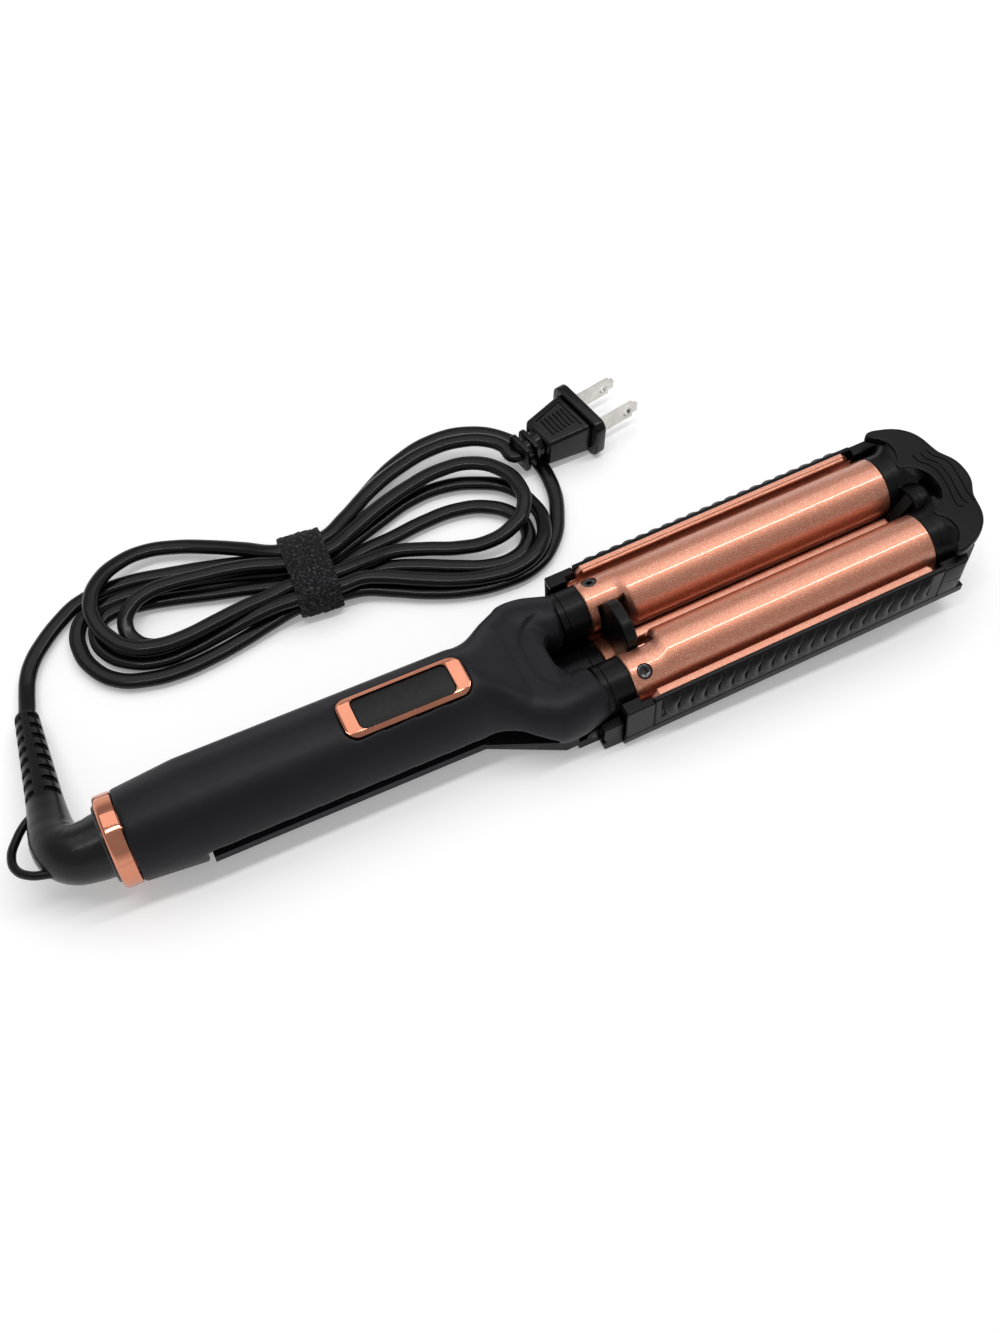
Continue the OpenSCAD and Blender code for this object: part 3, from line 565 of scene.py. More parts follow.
def tube(points: Sequence[Point], radii: Sequence[float], steps: int, sides: int,
         waist: float = 0.0) -> Mesh:
    """Sweeps a round or two-cored section along a smooth line through points.

    Args:
        points: points that the line goes through.
        radii: radius at each point.
        steps: steps from point to point.
        sides: corners of the section.
        waist: share of the radius by which the section narrows between its two cores.

    Returns:
        The tube.
    """
    section = bpy.data.curves.new("section", "CURVE")
    ring = section.splines.new("POLY")
    ring.points.add(sides - 1)
    ring.use_cyclic_u = True
    for k, corner in enumerate(ring.points):
        angle = math.tau * k / sides
        reach = 1 - waist + waist * math.cos(2 * angle)
        corner.co = (reach * math.cos(angle), reach * math.sin(angle), 0, 1)
    outline = linked("section", section)
    curve = smooth_line(points, radii, steps)
    curve.bevel_mode = "OBJECT"
    curve.bevel_object = outline
    curve.use_fill_caps = True
    bm = settled(linked("line", curve))
    bpy.data.objects.remove(outline)
    for scratch in (section, curve):
        bpy.data.curves.remove(scratch)
    return tidy(bm)


def merged_copy(node: str) -> Mesh:
    """Copies a CAD node, with its loose triangles merged and its flat faces whole.

    Args:
        node: the node's name.

    Returns:
        The copy, in metres in the model's frame.
    """
    bm = bmesh.new()
    bm.from_mesh(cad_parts[node].data)
    bmesh.ops.remove_doubles(bm, verts=bm.verts, dist=2e-6)
    bmesh.ops.dissolve_degenerate(bm, edges=bm.edges, dist=1e-6)
    faced(bm)
    bmesh.ops.dissolve_limit(bm, angle_limit=math.radians(0.4), verts=bm.verts, edges=bm.edges)
    return bm


def plate(outline: Sequence[tuple[float, float]], low: float, high: float, bevel: float) -> Mesh:
    """Makes a plate with a smooth outline and a rounded top edge.

    Args:
        outline: points that its outline goes through, in order.
        low: height of its underside.
        high: height of its top.
        bevel: rounding of its top edge.

    Returns:
        The plate.
    """
    knots = [(x, y, low) for x, y in outline]
    curve = smooth_line(knots, [1.0] * len(knots), 5, closed=True)
    bm = settled(linked("outline", curve))
    bpy.data.curves.remove(curve)
    bmesh.ops.delete(bm, geom=bm.faces[:], context="FACES_ONLY")
    bmesh.ops.remove_doubles(bm, verts=bm.verts, dist=1e-4)
    bmesh.ops.contextual_create(bm, geom=bm.edges[:])
    rim = extruded(bm, (0, 0, high - low))
    round_edges(faced(bm), rim, bevel, 5)
    return bm


def skinned(bm: Mesh, voxel: float, passes: int) -> Mesh:
    """Turns a solid into one even skin with soft edges.

    Args:
        bm: the solid.
        voxel: size of the skin's faces.
        passes: smoothing passes.

    Returns:
        The skin.
    """
    rough = object_from(bm, "rough")
    skin = rough.modifiers.new("skin", "REMESH")
    skin.mode = "VOXEL"
    skin.voxel_size = voxel
    bm = settled(rough)
    for _ in range(passes):
        bmesh.ops.smooth_vert(bm, verts=bm.verts, factor=0.5, use_axis_x=True, use_axis_y=True,
                              use_axis_z=True)
    return bm


@dataclass
class SubAssembly:
    """A group of pieces that ride on one body."""

    body: Body

    def finish_piece(self, name: str, bm: Mesh, place: Matrix, finish: Finish,
                     replaces: Sequence[str] = (), bevel: float = 0.0,
                     crisp: float = 35.0) -> Object:
        """Puts a mesh in its place, dresses it and hangs it on the body.

        Args:
            name: the piece's name.
            bm: its mesh, in the place's own units.
            place: where it goes.
            finish: its finish.
            replaces: CAD nodes that it stands for.
            bevel: rounding of its sharp edges, in millimetres.
            crisp: angle, in degrees, past which an edge stays sharp.

        Returns:
            The piece.
        """
        moved(bm, place)
        if place.determinant() < 0:
            bmesh.ops.reverse_faces(bm, faces=bm.faces)
        made = object_from(bm, name)
        made.data.shade_smooth()
        made.data.set_sharp_from_angle(angle=math.radians(crisp))
        made.data.materials.clear()
        made.data.materials.append(finish.material())
        if bevel:
            edge = made.modifiers.new("edge", "BEVEL")
            edge.width = bevel * MM
            edge.segments = 3
            edge.limit_method = "ANGLE"
            edge.angle_limit = math.radians(crisp)
            edge.use_clamp_overlap = True
            edge.harden_normals = False
            even = made.modifiers.new("even", "WEIGHTED_NORMAL")
            even.keep_sharp = False
        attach(made, self.body.value)
        if replaces:
            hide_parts(*replaces)
        log.info("%s: %d faces on %s", name, len(made.data.polygons), self.body.value)
        return made

    def dress_node(self, node: str, finish: Finish) -> None:
        """Gives a CAD node that stays its finish.

        Args:
            node: the node's name.
            finish: its finish.
        """
        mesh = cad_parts[node].data
        mesh.materials.clear()
        mesh.materials.append(finish.material())
        log.info("%s: CAD node dressed in %s", node, finish.slot)

    def refine_node(self, node: str, finish: Finish, bevel: float, crisp: float = 30.0) -> Object:
        """Replaces a CAD node by a copy whose edges sharper than an angle are rounded."""
        return self.finish_piece(node + "_piece", merged_copy(node), Matrix.Identity(4),
                                 finish, (node,), bevel, crisp)


# ---- camera, floor and lamps ----

@dataclass
class Studio:
    """Camera, pale floor and soft lamps."""

    camera_at: Point = (-0.09905, -0.18471, 0.35638)
    right: Point = (0.90086, -0.43404, 0.00752)
    up: Point = (0.36473, 0.76619, 0.52908)
    back: Point = (-0.23540, -0.47388, 0.84854)
    lens: float = 50.1
    floor_z: float = -0.0003
    floor_lift: float = 0.22

    def place_camera(self) -> None:
        """Adds the camera."""
        data = bpy.data.cameras.new("camera")
        data.lens = self.lens
        data.sensor_fit = "HORIZONTAL"
        data.sensor_width = 36
        data.clip_start = 0.01
        camera = linked("camera", data)
        turn = Matrix((self.right, self.up, self.back)).transposed().to_4x4()
        camera.matrix_world = Matrix.Translation(self.camera_at) @ turn
        bpy.context.scene.camera = camera
        log.info("camera at %s", self.camera_at)

    def lay_floor(self) -> None:
        """Adds the floor, which keeps the object's shadow."""
        bm = bmesh.new()
        bmesh.ops.create_grid(bm, x_segments=1, y_segments=1, size=4,
                              matrix=Matrix.Translation((0, 0, self.floor_z)))
        floor = object_from(bm, "floor")
        made = bpy.data.materials.new("floor_paper")
        made.use_nodes = True
        nodes = Nodes(made.node_tree)
        seen = nodes.add("LightPath")
        level = seen.outputs["Is Camera Ray"]
        for ray in ("Is Glossy Ray", "Is Transmission Ray"):
            both = nodes.add("Math")
            both.use_clamp = True
            nodes.tree.links.new(level, both.inputs[0])
            nodes.tree.links.new(seen.outputs[ray], both.inputs[1])
            level = both.outputs[0]
        nodes.wire(nodes.tree.nodes["Principled BSDF"], Base_Color=(0.86, 0.855, 0.86, 1),
                   Roughness=0.9, Specular_IOR_Level=0.1, Emission_Color=(1, 1, 1, 1),
                   Emission_Strength=nodes.ramp(level, 0, 1, 0, self.floor_lift))
        floor.data.materials.append(made)

    def light_world(self) -> None:
        """Sets a surrounding that is white low down and grey overhead."""
        world = bpy.data.worlds.new("surrounding")
        bpy.context.scene.world = world
        world.use_nodes = True
        nodes = Nodes(world.node_tree)
        where = nodes.add("TexCoord").outputs["Object"]
        height = nodes.add("SeparateXYZ", Vector=where).outputs["Z"]
        nodes.wire(nodes.tree.nodes["Background"], Color=(1, 1, 1, 1),
                   Strength=nodes.ramp(height, 0.12, 0.45, 1.0, 0.42))

    def add_lamp(self, name: str, at: Point, target: Point, size: tuple[float, float],
                 power: float) -> None:
        """Adds a rectangular softbox.

        Args:
            name: the lamp's name.
            at: where it hangs.
            target: what it points at.
            size: its width and height.
            power: its power in watts.
        """
        data = bpy.data.lights.new(name, "AREA")
        data.shape = "RECTANGLE"
        data.size, data.size_y = size
        data.energy = power
        lamp = linked(name, data)
        aim = Vector(target) - Vector(at)
        lamp.rotation_mode = "QUATERNION"
        lamp.rotation_quaternion = aim.to_track_quat("-Z", "Y")
        lamp.location = at

    def build(self) -> None:
        """Sets up the whole studio."""
        self.place_camera()
        self.lay_floor()
        self.light_world()
        self.add_lamp("strip_top", (0.25, -0.02, 1.22), (0.25, -0.02, 0), (1.6, 0.09), 6.9)
        self.add_lamp("softbox_back", (0.1, 0.52, 1.15), (0.05, 0, 0), (1.5, 0.8), 4.3)
        bpy.context.scene.view_settings.view_transform = "Standard"


# ---- mains cord ----

@dataclass
class MainsCord(SubAssembly):
    """The two-cored cord from the swivel, folded into a hank and tied, and its plug."""

    width: float = 5.0
    waist: float = 0.17
    length: float = 1.537
    exit_point: Point = (-0.13318, 0.05471, 0.00467)
    slots_in_relief: int = 8
    steps: int = 7

    # The route in millimetres: the lead, then lobe by lobe round the hank, then up to the plug
    route: tuple[Point, ...] = (
        (-133.3, 54.3, 4.8), (-132.2, 59.0, 3.7), (-131.1, 64.0, 2.9), (-129.4, 69.5, 2.5),
        (-126.6, 74.5, 2.5), (-122.6, 79.0, 2.5), (-114.2, 85.8, 2.5), (-108.2, 89.1, 2.5),
        (-99.8, 90.5, 2.5), (-91.2, 90.2, 2.5), (-80.6, 88.1, 2.5), (-68.5, 85.1, 2.7),
        (-56.6, 81.2, 3.3), (-46.2, 76.9, 4.1), (-32.2, 75.7, 4.1), (-21.3, 83.2, 3.3),
        (-8.6, 92.8, 2.6), (4.2, 99.4, 2.5), (17.1, 102.4, 2.5), (29.4, 100.5, 2.5),
        (39.0, 93.5, 2.5), (44.3, 82.3, 2.5), (44.8, 69.4, 2.5), (41.0, 57.5, 2.5),
        (34.1, 47.4, 2.5), (24.7, 41.5, 2.5), (13.4, 40.5, 2.5), (2.3, 42.4, 2.5),
        (-8.6, 46.7, 2.5), (-19.0, 52.3, 2.8), (-26.6, 55.7, 3.5), (-33.9, 56.7, 4.1),
        (-47.8, 57.9, 4.1), (-56.9, 56.8, 3.2), (-67.0, 54.8, 2.6), (-77.5, 53.1, 2.5),
        (-87.8, 52.5, 2.5), (-96.7, 53.7, 2.5), (-105.4, 57.4, 2.5), (-110.9, 64.7, 2.5),
        (-112.5, 72.5, 2.5), (-111.1, 79.4, 2.5), (-106.5, 84.2, 2.5), (-99.1, 85.6, 2.5),
        (-87.4, 85.0, 2.5), (-76.0, 82.5, 2.5), (-64.0, 79.2, 2.7), (-55.2, 75.8, 3.3),
        (-46.6, 72.1, 4.1), (-32.7, 70.9, 4.1), (-23.2, 74.4, 3.3), (-11.8, 78.8, 2.6),
        (0.4, 82.6, 2.5), (12.3, 83.0, 2.5), (23.0, 79.7, 2.5), (31.4, 73.8, 2.6),
        (35.1, 64.6, 3.2), (34.1, 53.2, 5.0), (28.3, 45.3, 5.8), (19.9, 41.7, 5.6),
        (9.9, 42.5, 5.2), (-0.6, 45.7, 5.4), (-10.3, 50.3, 5.9), (-19.9, 55.2, 6.6),
        (-26.7, 57.2, 7.6), (-33.9, 56.7, 8.5), (-47.8, 57.9, 8.5), (-54.5, 58.8, 7.6),
        (-62.7, 59.1, 6.0), (-72.0, 58.8, 4.2), (-82.0, 58.1, 3.0), (-92.0, 58.5, 2.5),
        (-100.2, 62.0, 2.5), (-105.5, 68.0, 2.5), (-106.6, 74.5, 2.5), (-104.4, 79.5, 2.5),
        (-99.4, 81.6, 2.5), (-91.7, 80.8, 2.5), (-82.1, 78.7, 2.5), (-70.3, 75.2, 2.5),
        (-60.0, 72.0, 3.0), (-47.0, 67.4, 4.1), (-33.1, 66.2, 4.1), (-21.9, 69.5, 3.2),
        (-11.0, 70.9, 2.6), (0.8, 72.5, 2.5), (12.1, 72.5, 2.5), (21.7, 69.4, 2.5),
        (28.0, 63.2, 2.5), (29.4, 55.8, 2.5), (26.1, 49.9, 2.5), (19.8, 47.2, 2.5),
        (11.9, 48.0, 2.5), (3.2, 51.7, 2.5), (-6.0, 56.5, 2.5), (-15.6, 60.4, 2.8),
        (-24.1, 61.7, 3.5), (-33.5, 61.5, 4.1), (-47.4, 62.7, 4.1), (-54.9, 63.6, 3.2),
        (-64.6, 64.2, 2.6), (-75.1, 63.5, 2.5), (-84.2, 63.1, 2.5), (-91.7, 64.2, 2.5),
        (-96.7, 68.5, 3.2), (-97.4, 73.9, 5.0), (-93.8, 78.1, 6.8), (-87.5, 80.4, 7.5),
        (-79.9, 80.4, 7.6), (-71.3, 79.2, 7.6), (-62.1, 77.6, 7.8), (-54.1, 75.2, 8.2),
        (-46.6, 72.1, 8.5), (-32.7, 70.9, 8.5), (-23.3, 74.9, 7.9), (-11.5, 80.2, 7.5),
        (0.6, 84.1, 7.3), (12.8, 86.2, 7.2), (23.4, 84.3, 7.4), (30.4, 77.8, 7.8),
        (32.8, 69.0, 8.2), (30.3, 60.2, 8.2), (23.2, 55.1, 7.3), (15.0, 54.7, 5.2),
        (6.0, 57.7, 3.6), (-3.6, 61.8, 3.6), (-13.7, 64.3, 4.8), (-23.2, 63.3, 6.8),
        (-33.4, 61.9, 8.5), (-47.4, 63.2, 8.5), (-54.6, 62.5, 8.2), (-63.5, 62.2, 7.8),
        (-72.8, 61.2, 7.5), (-82.7, 60.1, 7.3), (-91.3, 60.7, 7.2), (-98.6, 63.8, 7.2),
        (-103.4, 69.9, 7.4), (-105.4, 77.4, 7.6), (-104.4, 84.6, 7.6), (-99.7, 91.3, 7.2),
        (-92.4, 96.0, 6.0), (-84.1, 98.0, 4.5), (-74.4, 95.9, 4.0), (-64.5, 90.7, 4.6),
        (-55.6, 84.3, 6.2), (-46.2, 76.9, 8.5), (-32.2, 75.7, 8.5), (-22.6, 80.7, 7.9),
        (-11.1, 87.8, 7.4), (1.6, 93.0, 7.2), (14.1, 95.5, 7.2), (23.8, 94.5, 7.4),
        (31.0, 91.3, 7.6), (35.6, 86.4, 7.6), (37.1, 80.8, 7.6), (42.0, 81.8, 7.6))

    def build_cord(self) -> tuple[Object, list[Point]]:
        """Makes the cord.

        Returns:
            The cord, and its centreline's points in metres.
        """
        radii = [self.width / 2] * len(self.route)
        bm = tube(self.route, radii, self.steps, 20, self.waist)
        cord = self.finish_piece("mains_cord", bm, METRES, CORD_RUBBER,
                                 ("cord_lead", "cord_hank"), crisp=80)
        centre = centreline(self.route, radii, self.steps)
        return cord, [tuple(c * MM for c in point) for point in centre]

    def build_relief(self) -> Object:
        """Makes the tapered strain relief, with rows of short slots.

        Returns:
            The strain relief.
        """
        long, root, tip = 35.5, 5.2, 3.5
        slot_from, slot_to = 0.28, 0.78
        pitch = long / self.slots_in_relief
        stops = [0.0]
        for k in range(self.slots_in_relief):
            stops += [pitch * (k + slot_from), pitch * (k + slot_to)]
        stops.append(long)
        skin = [(x, root + (tip - root) * x / long) for x in stops]
        bm = spun([(0.0, 0.0), *skin, (long, 0.0)], 24)
        pressed = []
        for face in bm.faces:
            middle = face.calc_center_median()
            row = middle.x / pitch % 1
            turn = math.degrees(math.atan2(middle.z, middle.y)) % 90
            if slot_from < row < slot_to and 15 < turn < 75 and len(face.verts) == 4:
                pressed.append(face)
        bmesh.ops.inset_region(bm, faces=pressed, thickness=0.22, depth=-0.9, use_even_offset=True)
        return self.finish_piece("strain_relief_sleeve", bm, RELIEF, CORD_RUBBER,
                                 ("strain_relief",), bevel=0.16, crisp=32)

    def build_tie(self) -> Object:
        """Makes the hook-and-loop strap as a fuzzy band round the strands.

        Returns:
            The strap.
        """
        wide, high, thick, half = 28.0, 12.8, 1.7, 6.7
        around, across, square = 150, 26, 3.4
        bm = bmesh.new()
        loops = []
        for inner in (0.0, thick):
            rim = []
            for k in range(around):
                cos, sin = math.cos(math.tau * k / around), math.sin(math.tau * k / around)
                corner = (abs(cos) ** square + abs(sin) ** square) ** (-1 / square)
                rim.append(bm.verts.new((-half, (wide / 2 - inner) * corner * cos,
                                         (high / 2 - inner) * corner * sin)))
            loops += [bm.edges.new((a, b)) for a, b in zip(rim, rim[1:] + rim[:1])]
        bmesh.ops.bridge_loops(bm, edges=loops)
        extruded(bm, (2 * half, 0, 0))
        long_edges = [e for e in bm.edges if abs(e.verts[0].co.x - e.verts[1].co.x) > half]
        bmesh.ops.subdivide_edges(bm, edges=long_edges, cuts=across, use_grid_fill=True)
        tidy(bm)
        for vert in bm.verts:
            out = Vector((0, vert.co.y, vert.co.z)).normalized()
            crown = 0.5 * math.cos(math.pi * vert.co.x / (2 * half + 1))
            fuzz = 0.42 * noise.noise(vert.co * 1.3) + 0.26 * noise.noise(vert.co * 3.1)
            vert.co += out * (fuzz - 0.25 + crown * 0.4)
            vert.co.x += 0.25 * noise.noise(vert.co * 0.8 + Vector((9, 0, 0)))
        return self.finish_piece("hook_and_loop_tie", bm, TIE, TIE_FABRIC, ("cord_tie",), crisp=70)

    def build_plug(self) -> list[Object]:
        """Makes the plug's collar, body and blades.

        Returns:
            The three pieces.
        """
        body = block((-19.6, -1, -1), (-3.6, 1, 1))
        for vert in body.verts:
            flare = vert.co.x > -10
            vert.co.y *= 9.0 if flare else 6.4
            vert.co.z *= 6.2 if flare else 5.2
        round_edges(body, body.edges[:], 1.3, 4)
        top = max(body.faces, key=lambda f: f.normal.z * f.calc_area())
        bmesh.ops.inset_individual(body, faces=[top], thickness=1.6, depth=0)
        bmesh.ops.inset_individual(body, faces=[top], thickness=0.25, depth=-0.45)
        bars = [block((-15.6 + 1.6 * k, -3.6, 5.05), (-14.9 + 1.6 * k, 3.6, 5.5 + 0.1 * k),
                      0.15, 2) for k in range(6)]
        flange = slab((-3.7, -12, -7.5), (0, 12, 7.5), 3.4, 0.6, (6, 3))
        shell = self.finish_piece("plug_shell", joined(body, flange, *bars), PLUG,
                                  CORD_RUBBER, ("plug_body",), crisp=40)
        neck = spun([(-27.6, 0), (-27.6, 3.0), (-27.2, 3.6), (-19.4, 4.6), (-19.4, 0)], 48)
        ribs = [slab((x, -5, -5), (x + 1.7, 5, 5), 1.6, 0.35, (4, 2)) for x in (-27.0, -23.4)]
        collar = self.finish_piece("plug_collar_ribs", joined(neck, *ribs), PLUG,
                                   CORD_RUBBER, ("plug_collar",), crisp=40)
        blades = self.refine_node("plug_blades", NICKEL, 0.3)
        return [shell, collar, blades]

    def build(self) -> None:
        cord, centre = self.build_cord()
        pieces = [self.build_relief(), self.build_tie(), *self.build_plug()]


# ---- swivel ----

@dataclass
class Swivel(SubAssembly):
    """The right-angle swivel and its hanging loop."""

    root_x: float = -149.0

    def build(self) -> None:
        """Builds the swivel's pieces."""
        x = self.root_x
        points = [(x - 0.8, 0, 0), (x - 5, 0, 0), (x - 8.5, 0.8, 0), (x - 11.2, 3.2, 0),
                  (x - 12.6, 6.8, 0), (x - 13, 11, 0), (x - 12.8, 16, 0), (x - 12.5, 20.7, 0)]
        horn = tube(points, [9.2, 8.6, 8.3, 7.9, 7.2, 6.4, 5.7, 5.25], 10, 48)
        root = spun([(x - 0.9, 0), (x - 0.9, 10.6), (x - 0.5, 11.0), (x + 3.4, 11.0),
                     (x + 3.4, 6), (x + 18.3, 6), (x + 18.3, 8), (x + 20, 8),
                     (x + 20, 0)], 64)
        self.finish_piece("swivel_horn", joined(horn, root), SWIVEL, GLOSS_BLACK,
                          ("swivel_elbow",), crisp=40)
        loop = [(x - 13.5, 20.2, 0), (x - 16, 19.5, 0), (x - 19, 17.5, 0), (x - 22.5, 13, 0),
                (x - 24.6, 8.5, 0), (x - 24.4, 3.5, 0), (x - 21.5, 0, 0), (x - 17, -2, 0),
                (x - 12, -3.6, 0), (x - 8, -5, 0)]
        self.finish_piece("hanging_loop", tube(loop, [1.25] * len(loop), 8, 16), SWIVEL,
                          CORD_RUBBER, ("hang_loop",), crisp=60)


# ---- handle ----

@dataclass
class Handle(SubAssembly):
    """The forked handle with its end ring and control panel."""

    voxel: float = 0.55
    passes: int = 6
    gap_half: float = 6.35
    gap_corner: float = 4.0
    gap_x: float = -17.3
    rim_wide: float = 7.8
    rim_slope: float = 1.3
    rim_high: float = 0.9
    waist_from: float = -45.0
    waist_long: float = 15.0
    waist_deep: float = 1.2
    prong_floor: float = -3.2
    prong_radii: tuple[float, ...] = (8.8, 9.0, 8.95, 8.7, 8.25)

    # Axis of the left prong, from the shoulder to the collar
    prong_axis: tuple[Point, ...] = ((-24, 14.7, 1.9), (-21.5, 15, 1.6), (-18, 14.8, 1.3),
                                     (-14.5, 14.1, 0.9), (-9.5, 13.05, 0.5))

    def build_shell(self) -> None:
        """Builds the soft shell, with round prongs, a waist and a low rim round its gap."""
        bm = bmesh.new()
        bm.from_mesh(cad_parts["handle_top_shell"].data)
        bmesh.ops.remove_doubles(bm, verts=bm.verts, dist=2e-6)
        moved(bm, HEAD.inverted())
        prongs = []
        for side in Side:
            axis = [(x, y * side.value, z) for x, y, z in self.prong_axis]
            prongs.append(tube(axis, self.prong_radii, 8, 48))
            for vert in prongs[-1].verts:
                vert.co.z = max(vert.co.z, self.prong_floor)
        bm = skinned(joined(bm, *prongs), self.voxel, self.passes)
        for vert in bm.verts:
            waist = math.sin(math.pi * held((vert.co.x - self.waist_from) / self.waist_long)) ** 2
            reach = held((abs(vert.co.y) - 6) / 6)
            vert.co.y -= math.copysign(self.waist_deep * waist * reach, vert.co.y)
            x, y, z = vert.co
            off = math.hypot(max(0.0, abs(y) - self.gap_half + self.gap_corner),
                             max(0.0, self.gap_x + self.gap_corner - x)) - self.gap_corner
            near = held((self.rim_wide - off) / self.rim_slope)
            fade = held((-12 - x) / 8) * held((z - 2) / 3)
            vert.co.z -= self.rim_high * near * near * (3 - 2 * near) * fade
        self.finish_piece("handle_shell", bm, HEAD, SOFT_BLACK, ("handle_top_shell",), crisp=75)

    def build_ring(self) -> None:
        """Builds the polished end ring."""
        outline = [(-149, 12.3), (-148.8, 12.8), (-148.4, 13.1), (-147.9, 13.2), (-144.5, 13.2),
                   (-144.1, 13.1), (-144, 12.8), (-144, 11.15), (-139, 11.15), (-139, 9.2),
                   (-145.2, 9.2), (-145.2, 11.4), (-148.8, 11.4), (-149, 11.6)]
        self.finish_piece("end_ring_piece", spun(outline, 128), HANDLE, ROSE_GOLD,
                          ("end_ring",), crisp=50)

    def build(self) -> None:
        """Builds the handle's pieces."""
        self.build_shell()
        self.build_ring()
        self.refine_node("display_bezel", ROSE_GOLD, 0.3)
        for node, finish in (("handle_liner", MOULDED_BLACK), ("handle_screws", STEEL),
                             ("swivel_socket", MOULDED_BLACK), ("circuit_board", BOARD_GREEN),
                             ("tact_switches", STEEL), ("wiring_harness", WIRE_RED),
                             ("hinge_pin", DARK_STEEL), ("return_spring", STEEL)):
            self.dress_node(node, finish)


@dataclass
class ControlPad(SubAssembly):
    """The push pad inside the bezel."""

    def build(self) -> None:
        """Builds the pad."""
        self.refine_node("control_pad", PAD_BLACK, 0.35)


# ---- upper barrels ----

@dataclass
class UpperBarrels(SubAssembly):
    """The two fixed barrels with their collars, screws, end caps and cool tip."""

    pitch: float = 24.1
    radius: float = 9.5
    wall: float = 1.2
    length: float = 100.6
    neck_radius: float = 7.9
    neck_length: float = 11.5
    neck_z: float = 0.5
    screw_x: float = 4.2
    screw_lean: float = 26.0
    guard_slot: tuple[float, float] = (2.6, 8.9)
    tip_under: float = 7.4
    tip_top: float = 10.4

    # Finger grooves across the tip, from the far lobe to the near one
    grooves: tuple[tuple[tuple[float, float], ...], ...] = (
        ((112.3, 11), (112.4, 9), (112.8, 8), (114.4, 6.2), (115.4, 3.9), (115.6, 1.6), (115.2, -2),
         (114.5, -5.1), (113.4, -8.7), (113.2, -10.5), (113.5, -11.7), (114.6, -11.6)),
        ((114.7, 10.8), (114.9, 9.4), (115.1, 8.2), (116.6, 6.7), (117.6, 4.5), (117.7, 0.5),
         (117.3, -2.7), (116.4, -6), (115.9, -8.7), (115.8, -10.4), (116.3, -11.5)),
        ((117.1, 10.9), (117.3, 9.2), (117.9, 8), (119.5, 6.1), (120.5, 3.4), (120.3, 0),
         (119.6, -3.9), (118.9, -7), (118.6, -9.4), (118.6, -11.4), (119.2, -11.6)))

    @property
    def barrel_y(self) -> float:
        """Distance of a barrel's axis from the middle."""
        return self.pitch / 2

    @property
    def neck_y(self) -> float:
        """Distance of a neck's axis from the middle."""
        return self.barrel_y + self.radius - self.neck_radius

    @property
    def screw_place(self) -> Matrix:
        """Place of the neck's screw, with Z outwards."""
        return placed((self.screw_x, self.neck_y, self.neck_z), -self.screw_lean, "X")

    def build_barrel(self, side: Side) -> None:
        """Builds a barrel and its neck.

        Args:
            side: which one.
        """
        r, w, front, step = self.radius, self.wall, self.length, self.neck_length
        rings = [(0.0, 0.0, 0.3), (0.3, 0.0, 0.0)]
        rings += [(step - 2.2 + 0.55 * k, min(1.0, k / 8), 0.0) for k in range(9)]
        rings += [(front - 0.25, 1.0, 0.0), (front, 1.0, 0.25), (front, 1.0, w),
                  (step + 2.6, 1.0, w), (step - 2.4, 0.0, w), (0.0, 0.0, w)]
        bm = bmesh.new()
        loops = []
        for x, share, inset in rings:
            share = share * share * (3 - 2 * share)
            at = (x, self.neck_y + (self.barrel_y - self.neck_y) * share, self.neck_z * (1 - share))
            radius = self.neck_radius + (r - self.neck_radius) * share - inset
            made = bmesh.ops.create_circle(bm, segments=128, radius=radius,
                                           matrix=placed(at, 90, "Y"))
            loops.append(list({edge for vert in made["verts"] for edge in vert.link_edges}))
        for one, other in zip(loops, loops[1:] + loops[:1]):
            bmesh.ops.bridge_loops(bm, edges=one + other)
        slot = block((self.guard_slot[0], -2, -20), (step - 0.02, self.guard_slot[1], 20))
        bm = carved(faced(bm), slot, cylinder(self.screw_place, 2.35, 12))
        disc = cylinder(placed((step, self.neck_y - 0.8, 0.25), 90, "Y"), 7.8, 1, 96)
        self.finish_piece(f"barrel_{side.word}", joined(bm, disc), side.place, COPPER,
                          (f"upper_barrel_{side.word}",), crisp=40)

    def build_collar(self, side: Side) -> None:
        """Builds a black collar with its seam and its crescent fin.

        Args:
            side: which one.
        """
        r, spigot, bore = 7.6, 6.65, 4.2
        collar = spun([(-17, bore), (-17, spigot), (-8.95, spigot), (-8.95, r - 0.3),
                       (-8.7, r), (-6.9, r), (-6.75, r - 0.3), (-6.6, r), (-0.4, r),
                       (-0.05, r - 0.35), (-0.05, spigot), (11.2, spigot), (11.2, bore)],
                      112, self.neck_y, self.neck_z)
        slot = block((self.guard_slot[0], -2, -20), (self.neck_length, self.guard_slot[1], 20))
        head = self.screw_place @ placed((0, 0, 6.05))
        collar = carved(collar, slot, cylinder(self.screw_place, 1.25, 10), cylinder(head, 2.3, 5))
        fin = spun([(-4.9, 0), (-4.9, r - 0.35), (-4.6, r), (-3.6, r), (-3.3, r - 0.35),
                    (-3.3, 0)], 96, self.neck_y + 0.6, self.neck_z - 1.8)
        fin = carved(fin, spun([(-6, 0), (-6, spigot), (-2, spigot), (-2, 0)], 64,
                               self.neck_y, self.neck_z))
        self.finish_piece(f"collar_{side.word}_piece", joined(collar, fin), side.place,
                          MOULDED_BLACK, (f"collar_{side.word}",), crisp=40)

